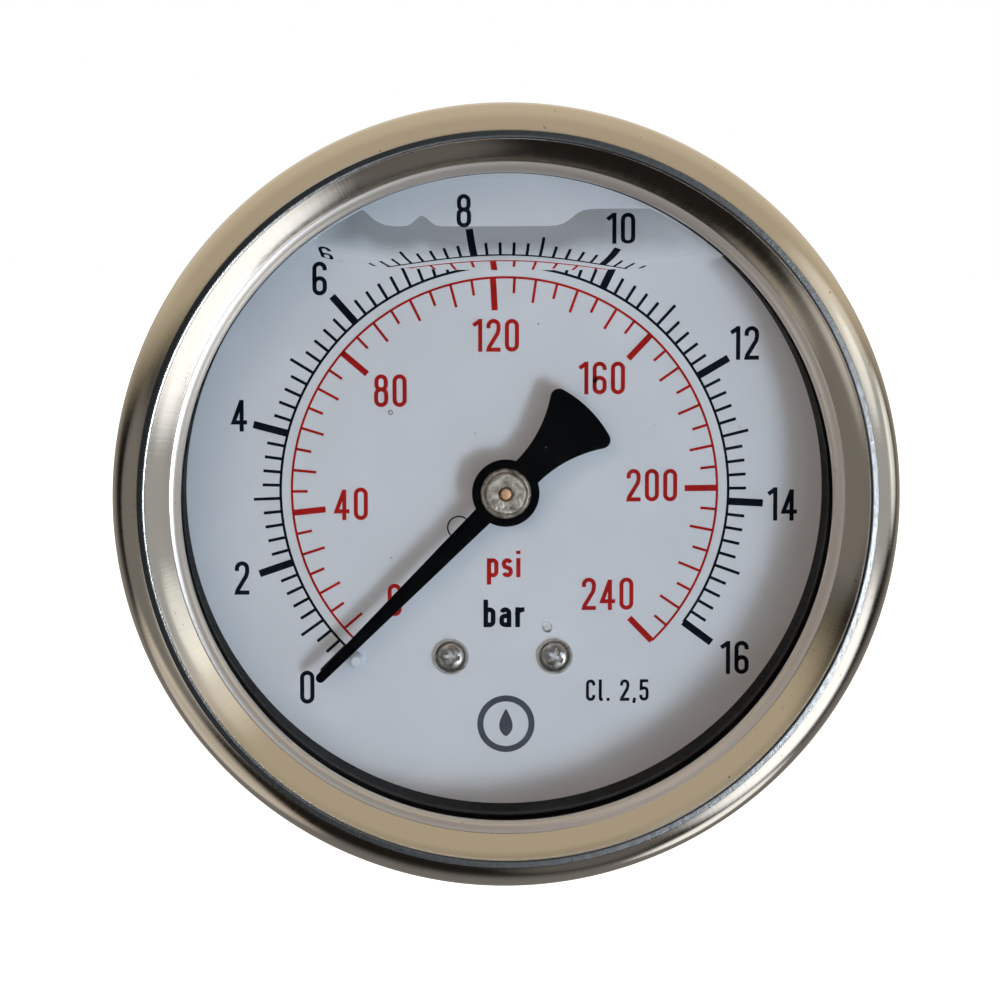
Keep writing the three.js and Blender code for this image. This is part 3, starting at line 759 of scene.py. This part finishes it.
def glyph_strokes(weight):
    """Condensed upright letters of height 1. Each is (width, [points of a stroke, ...])."""
    h = weight / 2
    wide = 0.43
    left, right = h, wide - h
    mid = wide / 2
    r = mid - h
    top, low = 1 - h, h
    small = 0.72  # height of the lower-case letters
    s_top = small - h
    s_quarter = (s_top - low) / 4
    six_top = 0.57 - h
    eight_waist = 0.54
    over = bend(mid, top - r, r, r, 0, 180)
    under = bend(mid, low + r, r, r, 180, 360)
    round_bowl = bend(mid, s_top - r, r, r, 150, 0) + bend(mid, low + r, r, r, 0, -150)
    return {
        "0": (wide, [over + under]),
        "1": (0.27, [[(0.21, 0), (0.21, 1)], [(0.0, 0.8), (0.2, 0.94)]]),
        "2": (wide, [
            [(left, 0.71)] + bend(mid, top - r, r, r, 180, 0)
            + [(right, 0.68), (right - 0.03, 0.56), (left + 0.02, 0.14), (left, low), (wide, low)],
        ]),
        "4": (0.46, [[(0.3, 0), (0.3, 1 - h)], [(0.3, 1 - h * 1.2), (0.06, 0.27), (0.46, 0.27)]]),
        "5": (wide, [
            [(wide - 0.02, top), (left + 0.02, top), (left + 0.01, 0.56)]
            + bend(mid, 0.6 - r, r, r, 130, 0) + bend(mid, low + r, r, r, 0, -180) + [(left, 0.28)],
        ]),
        "6": (wide, [[(right, 0.74)] + over + under + bend(mid, six_top - r, r, r, 0, 180)]),
        "8": (wide, [
            bend(mid, top - r * 0.95, r * 0.92, r * 0.95, 0, 180)
            + bend(mid, eight_waist + r * 0.85, r * 0.92, r * 0.85, 180, 360),
            bend(mid, eight_waist - r * 0.95, r, r * 0.95, 0, 180) + under,
        ]),
        "p": (wide, [[(left, -0.27), (left, small)], round_bowl]),
        "b": (wide, [[(left, 0), (left, 1)], round_bowl]),
        "a": (wide, [
            bend(mid, s_top - r, r, r, 165, 0) + [(right, 0)],
            [(right, 0.44)] + bend(mid + 0.02, 0.41 - r * 0.8, r + 0.02, r * 0.8, 90, 180, 5)
            + bend(mid + 0.02, low + r * 0.8, r + 0.02, r * 0.8, 180, 270, 5) + [(right, 0.13)],
        ]),
        "r": (0.31, [
            [(left, 0), (left, small)],
            bend(0.28, s_top - 0.22, 0.22, 0.22, 175, 90, 6) + [(0.33, s_top)],
        ]),
        "s": (0.38, [
            bend(0.19, s_top - s_quarter, 0.13, s_quarter, 20, 90, 4)
            + bend(0.19, s_top - s_quarter, 0.13, s_quarter, 90, 230, 6)
            + bend(0.19, low + s_quarter, 0.13, s_quarter, 50, -90, 6)
            + bend(0.19, low + s_quarter, 0.13, s_quarter, -90, -160, 4),
        ]),
        "i": (weight, [[(h, 0), (h, small)], [(h, 0.87), (h, 1)]]),
        "l": (0.2, [[(h, 1), (h, 0.14), (h + 0.03, low), (0.19, low)]]),
        "C": (wide, [[(right, 0.72)] + over + under + [(right, 0.28)]]),
        ".": (weight, [[(h, 0), (h, weight)]]),
        ",": (weight, [[(h + 0.02, weight), (h - 0.03, -0.1)]]),
        " ": (0.16, []),
    }


CLOSED_GLYPHS = "08"


def text_width(text, height, weight=0.125, gap=0.13):
    letters = glyph_strokes(weight)
    return (sum(letters[c][0] for c in text) + gap * (len(text) - 1)) * height


def write(ink, text, centre, height, weight=0.125, gap=0.13):
    """Draws text centred at (x, z), height in millimetres."""
    letters = glyph_strokes(weight)
    x = -text_width(text, 1, weight, gap) / 2
    for char in text:
        width, strokes = letters[char]
        for points in strokes:
            placed = [(centre[0] + (x + px) * height, centre[1] + (py - 0.5) * height) for px, py in points]
            ink.line(placed, weight * height, char in CLOSED_GLYPHS)
        x += width + gap


# How far each numeral stands from its even place, in millimetres.
BAR_NUDGE = {
    2: (-0.15, 0.1),
    4: (0.15, 0.5),
    6: (0.2, 0.1),
    8: (-0.2, -0.3),
    10: (-0.7, 0),
    12: (-0.45, 0.2),
    16: (0.3, 0),
}
PSI_NUDGE = {40: (0, 0.25), 80: (0, 0.25), 160: (-0.2, 0.55), 200: (0, 0.3), 240: (0.35, -0.2)}


def write_numeral(ink, value, angle, edge, height, inside, nudge):
    """Writes a numeral whose box just clears a circle of radius edge, moved by its nudge."""
    text = str(value)
    turn = math.radians(angle)
    reach = abs(math.cos(turn)) * text_width(text, height) / 2 + abs(math.sin(turn)) * height / 2
    radius = edge - reach if inside else edge + reach
    move_x, move_z = nudge.get(value, (0, 0))
    write(ink, text, (radius * math.cos(turn) + move_x, radius * math.sin(turn) + move_z), height)


def print_bar_scale(ink):
    ink.ring(BLACK_R, ZERO_AT, BAR_ORIGIN - 16 * BAR_STEP, 0.23, steps=300)
    for step in range(3, 81):
        angle = BAR_ORIGIN - step * BAR_STEP / 5
        if step % 10 == 0:
            ink.tick(angle, BLACK_R, BLACK_LONG, 0.66)
        else:
            ink.tick(angle, BLACK_R, BLACK_SHORT if step % 5 else BLACK_MIDDLE, 0.27)
    ink.tick(ZERO_AT, BLACK_R, BLACK_LONG, 0.66)
    for value in range(0, 17, 2):
        angle = BAR_ORIGIN - value * BAR_STEP if value else ZERO_AT
        write_numeral(ink, value, angle, *BLACK_NUMERALS, False, BAR_NUDGE)


def print_psi_scale(ink):
    ink.ring(RED_R, ZERO_AT, BAR_ORIGIN - 240 * PSI_STEP, 0.21, steps=300)
    for value in range(10, 241, 5):
        angle = BAR_ORIGIN - value * PSI_STEP
        if value % 40 == 0:
            ink.tick(angle, RED_LONG, RED_R, 0.55)
        else:
            ink.tick(angle, RED_SHORT if value % 10 else RED_MIDDLE, RED_R, 0.24)
    ink.tick(ZERO_AT, RED_LONG, RED_R, 0.55)
    for value in range(0, 241, 40):
        angle = BAR_ORIGIN - value * PSI_STEP if value else ZERO_AT
        write_numeral(ink, value, angle, *RED_NUMERALS, True, PSI_NUDGE)


def print_dial():
    black = Ink()
    print_bar_scale(black)
    write(black, "bar", (-0.1, -11.1), 2.5, 0.17, 0.14)
    write(black, "Cl. 2,5", (10.1, -18.1), 1.95, 0.14, 0.16)
    black.ring(1.0, 0, 360, 0.13, (-4.1, -3.35), 48)  # small open circle beside the needle
    black.finish("dial_print_black", PRINT_BLACK, "dial_print_black")
    red = Ink()
    print_psi_scale(red)
    write(red, "psi", (-0.1, -6.65), 2.4, 0.16, 0.14)
    red.finish("dial_print_red", PRINT_RED, "dial_print_red")
    # A plain mark in place of a maker's: a ring with a drop in it.
    slate = Ink()
    place = (0.1, -21.1)
    slate.ring(2.3, 0, 360, 0.55, place, 64)
    left, right = [], []
    for i in range(17):
        t = i / 16
        half = 0.82 * math.sin(math.pi * t) ** 0.75 * (1 - 0.62 * t)
        z = place[1] - 1.15 + 2.5 * t
        left.append((place[0] - half - 0.01, z))
        right.append((place[0] + half + 0.01, z))
    slate.quad_strip(left, right)
    slate.finish("dial_print_mark", PRINT_SLATE, "dial_print_black")


print_dial()

# ---- Screws ----


def cross_recess(radius, top, sign, turn, centre, depth):
    """Cutter for a cross recess: two crossed bars that narrow downwards."""
    bm = bmesh.new()
    whole = Matrix.Rotation(math.radians(turn), 3, "Y")
    for quarter in (0, 90):
        made = bmesh.ops.create_cube(bm, size=1)["verts"]
        for vert in made:
            outer = vert.co.y * sign > 0
            vert.co.x *= 2 * radius * (1.0 if outer else 0.42)
            vert.co.z *= 2 * radius * (0.25 if outer else 0.16)
            vert.co.y = top + sign * 0.3 if outer else top - sign * depth
        part = Matrix.Rotation(math.radians(quarter), 3, "Y")
        bmesh.ops.rotate(bm, cent=(0, 0, 0), matrix=whole @ part, verts=made)
        bmesh.ops.translate(bm, vec=(centre[0], 0, centre[1]), verts=made)
    return bm


def make_screw(name, node, metal, sign, turn, head_height, shank_radius):
    """Pan head screw along Y. Sign -1 puts its head at the front. metal is (material, slot); its slot is
    not used.
    """
    low, high = millimetres(node)
    centre = middle_of(node)
    radius = (high.z - low.z) / 2
    top, end = (low.y, high.y) if sign < 0 else (high.y, low.y)
    seat = top - sign * head_height
    dome = smooth_line([
        (0, top),
        (radius * 0.45, top - sign * 0.02 * radius),
        (radius * 0.72, top - sign * 0.1 * radius),
        (radius * 0.92, top - sign * 0.28 * radius),
        (radius, top - sign * 0.46 * radius),
    ], 6)
    profile = dome + rounded([
        (radius * 0.985, seat),
        (shank_radius, seat),
        (shank_radius, end + sign * 0.2),
        (shank_radius - 0.2, end),
        (0, end),
    ], 0.05)[1:]
    material, slot = metal
    screw = turned(name, profile, material, "root", [node], 96, centre, 40)
    recess = cross_recess(radius * 0.6, top, sign, turn, centre, radius * 0.62)
    carve(screw, recess, "DIFFERENCE", True, (0.035, 2, 40))


for side, dial_turn, case_turn in (("left", 3, 12), ("right", 28, 40)):
    metal = (NICKEL, "nickel")
    make_screw(f"dial_fixing_{side}", f"dial_screw_{side}", metal, -1, dial_turn, 0.95, 0.84)
    metal = (SCREW_STEEL, "screw_steel")
    make_screw(f"case_fixing_{side}", f"case_screw_{side}", metal, 1, case_turn, 1.6, 1.24)

# ---- Stop pin ----


def make_stop_pin():
    low, high = millimetres("stop_pin")
    top = low.y
    seat = DIAL_FRONT
    profile = [(0, top)] + arc(0.3, top + 0.2, 0.2, 270, 360, 5) + rounded([
        (0.5, seat - 0.6),
        (0.62, seat - 0.42),
        (0.98, seat - 0.36),
        (0.98, seat - 0.03),
        (0.36, seat - 0.03),
        (0.36, high.y),
        (0, high.y),
    ], 0.1)
    place = middle_of("stop_pin")
    turned("zero_stop_pin", profile, PALE_PLASTIC, "root", ["stop_pin"], 64, place)


make_stop_pin()

# ---- Pointer, hub and arbor ----


def refine_cad(node, material, width):
    """Gives a CAD node that keeps its shape a material and softened edges."""
    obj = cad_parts[node]
    obj.data.materials.clear()
    obj.data.materials.append(material)
    weld = obj.modifiers.new("weld", "WELD")
    weld.merge_threshold = 0.002 * MM
    add_bevel(obj, width)
    smooth = obj.modifiers.new("smooth", "WEIGHTED_NORMAL")
    smooth.keep_sharp = False
    for face in obj.data.polygons:
        face.use_smooth = True


def make_hub():
    front = HUB_LOW.y
    back = HUB_HIGH.y
    profile = rounded([
        (0.6, front + 0.06),
        (0.75, front),
        (1.68, front),
        (1.86, front + 0.12),
        (1.88, front + 0.36),
        (2.05, front + 0.4),
        (2.2, front + 0.55),
        (2.2, front + 0.82),
        (1.22, front + 0.82),
        (1.22, back),
        (0.6, back),
    ], 0.06)
    turned("hub_bush", profile, HUB_METAL, "pointer", ["pointer_hub"], 96)


refine_cad("pointer", POINTER_BLACK, 0.05)
make_hub()
refine_cad("pinion_arbor", ARBOR_METAL, 0.03)

# ---- Stem: threaded end, hexagon and collar, with the socket's inner body ----


THREAD_PITCH = 1.337
THREAD_CREST_R = 6.578
THREAD_ROOT_R = 5.72
THREAD_START, THREAD_END = -11.6, -0.25
THREAD_FADE = 0.9  # length over which the ridge rises at each end
HEX_ACROSS_FLATS = 14
HEX_FRONT, HEX_BACK = -22.8, -13.0
BOSS_R = 2.4


def thread_radius(y, part):
    """Radius of the helix at y, part of a turn round the axis."""
    phase = (y / THREAD_PITCH - part) % 1.0
    ridge = 0.5 + 0.5 * math.cos(TAU * phase)
    ridge = min(1.0, max(0.0, (ridge - 0.08) / 0.84))
    fade = min(1.0, (y - THREAD_START) / THREAD_FADE, (THREAD_END - y) / THREAD_FADE)
    return THREAD_ROOT_R + (THREAD_CREST_R - THREAD_ROOT_R) * ridge * max(0.0, fade)


def make_stem():
    """Thread with a real helix, its plain end with the nipple and bore, and the neck behind it."""
    bm = bmesh.new()
    segments = 96
    rows = int((THREAD_END - THREAD_START) / THREAD_PITCH * 16)
    rings = []
    for row in range(rows + 1):
        y = THREAD_START + (THREAD_END - THREAD_START) * row / rows
        ring = []
        for i in range(segments):
            radius = thread_radius(y, i / segments)
            turn = TAU * (i / segments)
            ring.append(bm.verts.new((radius * math.cos(turn), y, radius * math.sin(turn))))
        rings.append(ring)
    for first, second in zip(rings, rings[1:]):
        wall(bm, first, second)
    nipple = [
        (5.62, -0.1),
        (5.45, 0.0),
        (2.62, 0.0),
        (2.5, 0.06),
        (2.5, 1.8),
        (2.3, 2.0),
        (1.35, 2.0),
        (1.25, 1.9),
        (1.25, -3.4),
    ]
    neck = [(5.5, -11.8), (5.45, -12.9), (5.45, -13.1)]
    for previous, points in ((rings[-1], nipple), (rings[0], neck)):
        for radius, y in points:
            ring = circle(bm, radius, y, segments)
            wall(bm, previous, ring)
            previous = ring
        bm.faces.new(previous)
    link("stem_thread", from_bmesh("stem_thread", bm, 30), BRASS, "root", ["socket"])


def make_hexagon():
    """Hexagonal prism with chamfered corners at its back end."""
    bm = bmesh.new()
    corner = HEX_ACROSS_FLATS / math.sqrt(3)
    made = bmesh.ops.create_cone(
        bm, cap_ends=True, segments=6, radius1=corner, radius2=corner, depth=HEX_BACK - HEX_FRONT
    )["verts"]
    spin(bm, 90, "X", made)
    spin(bm, 30, "Y", made)
    bmesh.ops.translate(bm, vec=(0, (HEX_FRONT + HEX_BACK) / 2, 0), verts=made)
    hexagon = link("stem_hexagon", from_bmesh("stem_hexagon", bm, 20), BRASS, "root")
    cone = bmesh.new()
    revolve(cone, [
        (0, HEX_BACK),
        (6.85, HEX_BACK),
        (corner + 0.2, HEX_BACK - 0.8),
        (corner + 0.2, HEX_FRONT),
        (0, HEX_FRONT),
    ], 128)
    carve(hexagon, cone, "INTERSECT", False, (0.12, 3, 25))


def make_socket_body():
    """Collar and flange, foot for the tube and bosses for the dial, inside the case."""
    collar = rounded([
        (0, -22.7),
        (7.95, -22.7),
        (8.1, -22.9),
        (8.1, -24.15),
        (15.2, -24.15),
        (15.2, -27.6),
        (0, -27.6),
    ], 0.2)
    turned("stem_collar", collar, BRASS, "root")
    bm = bmesh.new()
    add_box(bm, (-7.5, -32.2, -17.2), (7.5, -27.5, 6))
    add_box(bm, (-9.6, -36.4, -25.4), (8, -24.2, -17))
    top, end = DIAL_HIGH.y + 0.05, -31
    for side in ("left", "right"):
        boss = [(0, top), (BOSS_R, top), (BOSS_R, end), (0, end)]
        revolve(bm, boss, 48, middle_of(f"dial_screw_{side}"), False)
    body = link("socket_body", from_bmesh("socket_body", bm, 30), BRASS, "root")
    add_bevel(body, 0.3)


def make_o_ring():
    low, high = millimetres("case_o_ring")
    ring = arc(10.1, (low.y + high.y) / 2, 0.6, 0, 345, 23)
    turned("stem_o_ring", ring, RUBBER, "root", ["case_o_ring"], 128, sharp=180)


def make_filler_plug():
    """Made along Y, then turned to stand on top of the case."""
    low, high = millimetres("vent_plug")
    top = high.z
    profile = rounded([
        (0, top),
        (3.3, top),
        (3.6, top - 0.35),
        (4.2, top - 0.5),
        (4.4, top - 0.8),
        (4.4, top - 1.85),
        (3.1, top - 1.85),
        (3.1, low.z),
        (0, low.z),
    ], 0.2)
    bm = bmesh.new()
    revolve(bm, profile, 96)
    spin(bm, 90, "X", bm.verts)
    bmesh.ops.translate(bm, vec=(0, (low.y + high.y) / 2, 0), verts=bm.verts)
    link("filler_plug", from_bmesh("filler_plug", bm), RUBBER, "root", ["vent_plug"])


make_stem()
make_hexagon()
make_socket_body()
make_o_ring()
make_filler_plug()

# ---- Inner CAD nodes keep their shape ----

INNER = {
    MOVEMENT_BRASS: (
        "movement_back_plate", "movement_front_plate", "movement_pillar_left", "movement_pillar_right",
        "hairspring_stud", "hairspring_collet", "sector_gear", "link",
    ),
    NICKEL: (
        "plate_screw_left", "plate_screw_right", "mount_screw_left", "mount_screw_right",
        "sector_arbor", "sector_link_pin", "tube_link_pin", "restrictor_screw",
    ),
    COPPER_ALLOY: ("hairspring", "bourdon_tube"),
    BRASS: ("tube_end_piece",),
}
for material, nodes in INNER.items():
    for node in nodes:
        refine_cad(node, material, 0.04)

# ---- Liquid fill with its air bubble, the film left on the window tinted with painted shade, and small bubbles ----

LEVEL = 19.6
AIR_DEPTH = 1.1
AIR_CURVE = 0.9
FILM_FRONT = WINDOW_BACK + 0.05


def waterline(x):
    """Height of the liquid's edge on the window: it climbs towards the gasket on both sides."""
    left = 2.6 * math.exp(-(x + 19.2) / 4.2) if x < 12 else 0
    right = 1.9 * math.exp((x - 20.2) / 3.6) if x > -12 else 0
    return LEVEL + min(left, 6) + min(right, 6)


def air_depth(height):
    """Thickness of the air behind the window at a height above the waterline."""
    return AIR_DEPTH * (1 - math.exp(-height / AIR_CURVE)) + 0.12 * height


def make_liquid():
    """Everything between window and dial except a shallow bubble of air at the top."""
    bm = bmesh.new()
    gap = 0.03
    radius = GASKET_R + 0.06
    back = DIAL_FRONT + 0.15
    columns = 150
    lower_rows, upper_rows = 14, 44
    fronts = []
    for i in range(columns + 1):
        x = radius * math.sin(math.radians(-89.6 + 179.2 * i / columns))
        edge = math.sqrt(radius ** 2 - x ** 2)
        line = min(waterline(x), edge)
        column = []
        for k in range(lower_rows):
            column.append((x, WINDOW_BACK + gap, -edge + (line + edge) * k / lower_rows))
        for k in range(upper_rows + 1):
            height = (edge - line) * (k / upper_rows) ** 1.7
            column.append((x, WINDOW_BACK + gap + air_depth(height), line + height))
        fronts.append([bm.verts.new(point) for point in column])
    grid(bm, fronts)
    right_edge = fronts[-1][1:-1][::-1]
    rim = [column[-1] for column in fronts] + right_edge + [column[0] for column in reversed(fronts)]
    rim += fronts[0][1:-1]
    backs = [bm.verts.new((vert.co.x, back, vert.co.z)) for vert in rim]
    wall(bm, rim, backs)
    bm.faces.new(backs)
    link("glycerine_fill", from_bmesh("glycerine_fill", bm, 50), LIQUID_CLEAR, "root")


def film_top(x):
    """Scalloped upper edge of the film that drains down the window."""
    cusp = 0.9 * math.exp(-((x + 7.3) / 0.8) ** 2)
    left = 1.8 * math.exp(-((x + 13.2) / 1.7) ** 2)
    right = 1.5 / (1 + math.exp(-(x - 5.6) / 0.45))
    return 23.4 + cusp + left + right


def make_film():
    """Thin sheet of liquid on the back of the window, tinted darker towards its upper edge as painted
    shadow of the meniscus on the dial.
    """
    bm = bmesh.new()
    # The "tone" colours carry painted shade for the film's glass.
    tone = bm.verts.layers.float_color.new("tone")
    start, end, columns, rows = -16.9, 16.9, 160, 16
    thickness = 0.03
    sheets = []
    for side in (0, 1):
        sheet = []
        for i in range(columns + 1):
            x = start + (end - start) * i / columns
            limit = math.sqrt((GASKET_R - 0.2) ** 2 - x ** 2)
            low = min(waterline(x) + 0.7, limit - 0.2)
            high = max(low + 0.1, min(film_top(x), limit))
            ends = min(1, (x - start) / 3.5, (end - x) / 9)
            column = []
            for k in range(rows + 1):
                t = k / rows
                vert = bm.verts.new((x, FILM_FRONT + side * thickness, low + (high - low) * t))
                # Painted shadow: the tone rises towards the top of the film and fades out at both ends.
                climb = min(1, t / 0.6)
                shade = max(0, ends) * climb * climb * (3 - 2 * climb)
                vert[tone] = (shade, shade, shade, 1)
                column.append(vert)
            sheet.append(column)
        sheets.append(sheet)
    for sheet in sheets:
        grid(bm, sheet)
    front, back = sheets
    for a, b in zip(range(columns), range(1, columns + 1)):
        bm.faces.new((front[a][0], front[b][0], back[b][0], back[a][0]))
        bm.faces.new((front[a][-1], front[b][-1], back[b][-1], back[a][-1]))
    for i in (0, columns):
        wall(bm, front[i], back[i], False)
    link("window_film_painted_shade", from_bmesh("window_film_painted_shade", bm, 60), FILM_PAINTED_SHADE, "root")


def make_bubbles():
    rng = random.Random(7)
    bubbles = [((3.75, DIAL_FRONT - 0.62, -12.15), 0.5), ((23.4, -49.5, -15.8), 0.3),
               ((-10.05, -50.6, 7.35), 0.22)]
    for _ in range(9):
        angle = rng.uniform(0, TAU)
        reach = rng.uniform(3, 24)
        place = (reach * math.cos(angle), WINDOW_BACK + 0.35, min(reach * math.sin(angle), 15))
        bubbles.append((place, rng.uniform(0.04, 0.09)))
    bm = bmesh.new()
    for place, radius in bubbles:
        made = bmesh.ops.create_icosphere(bm, subdivisions=3, radius=radius)["verts"]
        bmesh.ops.translate(bm, vec=place, verts=made)
    link("liquid_bubbles", from_bmesh("liquid_bubbles", bm, 180), BUBBLE_CLEAR, "root")


make_liquid()
make_film()
make_bubbles()

# ---- Surroundings: what the bezel reflects, the lights and a pale floor ----


class Sky(Nodes):
    """World light by direction. phi turns from +X towards +Z; theta is the angle from the front, -Y."""

    def __init__(self, base):
        world = bpy.data.worlds.new("studio")
        bpy.context.scene.world = world
        world.use_nodes = True
        super().__init__(world.node_tree)
        self.tree.nodes.clear()
        self.view = self.node("ShaderNodeTexCoord").outputs["Generated"]
        self.total = base

    def scaled(self, color, factor):
        return self.vector("SCALE", {0: color, "Scale": factor}).outputs["Vector"]

    def within(self, phi, theta, inner, outer):
        """1 within the inner half-angle of a direction, 0 beyond the outer one."""
        phi, theta = math.radians(phi), math.radians(theta)
        way = (math.cos(phi) * math.sin(theta), -math.cos(theta), math.sin(phi) * math.sin(theta))
        return self.map_range({
            "Value": self.vector("DOT_PRODUCT", {0: self.view, 1: way}).outputs["Value"],
            "From Min": math.cos(math.radians(outer)),
            "From Max": math.cos(math.radians(inner)),
        }, interpolation_type="SMOOTHSTEP")

    def lobe(self, phi, theta, inner, outer, color):
        light = self.scaled(color, self.within(phi, theta, inner, outer))
        self.total = self.vector("ADD", {0: light, 1: self.total}).outputs["Vector"]

    def shade(self, phi, theta, inner, outer, depth):
        """Darkens what is there so far to 1 - depth of its light."""
        within = self.within(phi, theta, inner, outer)
        keep = self.map_range({"Value": within, "To Min": 1.0, "To Max": 1.0 - depth})
        self.total = self.scaled(self.total, keep)

    def finish(self):
        """The camera itself sees plain white."""
        studio = self.node("ShaderNodeBackground", {"Color": self.total})
        white = self.node("ShaderNodeBackground", {"Color": (1, 1, 1)})
        self.switch("ShaderNodeOutputWorld", "Is Camera Ray", studio, white)


def make_world():
    sky = Sky((0.014, 0.012, 0.01))
    sky.lobe(90, 100, 62, 84, (0.52, 0.435, 0.31))    # tan ceiling
    sky.lobe(90, 150, 35, 70, (0.13, 0.11, 0.08))     # brighter towards the wall behind
    sky.lobe(5, 82, 20, 34, (0.42, 0.42, 0.41))       # pale wall at the right
    sky.lobe(270, 150, 35, 65, (0.18, 0.17, 0.16))    # grey table behind and below
    sky.lobe(224, 104, 12, 24, (0.56, 0.49, 0.4))     # glow at the lower left
    sky.lobe(196, 80, 20, 32, (0.2, 0.185, 0.165))    # dim wall at the left
    sky.lobe(285, 80, 6, 16, (0.13, 0.12, 0.11))
    sky.lobe(14, 80, 4, 12, (0.6, 0.6, 0.56))
    sky.lobe(0, 112, 5, 14, (0.9, 0.9, 0.84))
    sky.lobe(301, 112, 6, 14, (1.1, 1.1, 1.05))
    sky.shade(0, 0, 46, 66, 0.95)                     # dark body in front
    sky.lobe(320, 80, 12, 26, (1.5, 1.5, 1.5))        # window at the lower right
    sky.lobe(215, 56, 8, 20, (0.55, 0.51, 0.45))
    sky.lobe(325, 40, 6, 15, (1.6, 1.6, 1.6))         # glints on screws and hub
    sky.lobe(120, 44, 8, 18, (0.45, 0.45, 0.5))
    sky.finish()


LAMP_TARGET = Vector((0, -45, 0))


def area_light(name, direction, distance, size, power, color, glossy=False):
    data = bpy.data.lights.new(name, "AREA")
    data.shape = "DISK"
    data.size = size * MM
    data.energy = power
    data.color = color
    lamp = add_object(name, data)
    way = Vector(direction).normalized()
    lamp.location = (LAMP_TARGET + way * distance) * MM
    lamp.rotation_mode = "QUATERNION"
    lamp.rotation_quaternion = way.to_track_quat("Z", "Y")
    lamp.visible_glossy = glossy
    lamp.visible_transmission = False
    lamp.visible_camera = False


def make_floor():
    bm = bmesh.new()
    bmesh.ops.create_grid(bm, x_segments=1, y_segments=1, size=3000)
    bmesh.ops.translate(bm, vec=(0, 0, -150), verts=bm.verts)
    mesh = from_bmesh("floor", bm)
    s = Shader("floor_white", (0.9, 0.9, 0.9), 0.9)
    s.feed("Emission Color", (1, 1, 1))
    s.feed("Emission Strength", 0.95)
    mesh.materials.append(s.material)
    floor = add_object("floor", mesh)
    floor.visible_glossy = False
    floor.visible_diffuse = False
    floor.visible_transmission = False


make_world()
make_floor()
area_light("key", (0.349, -0.915, -0.2), 520, 90, 0.79, (0.75, 0.86, 1.0), True)
area_light("fill", (-0.25, -0.95, 0.2), 420, 260, 0.56, (1.0, 0.78, 0.64))

scene = bpy.context.scene
scene.view_settings.view_transform = "Standard"
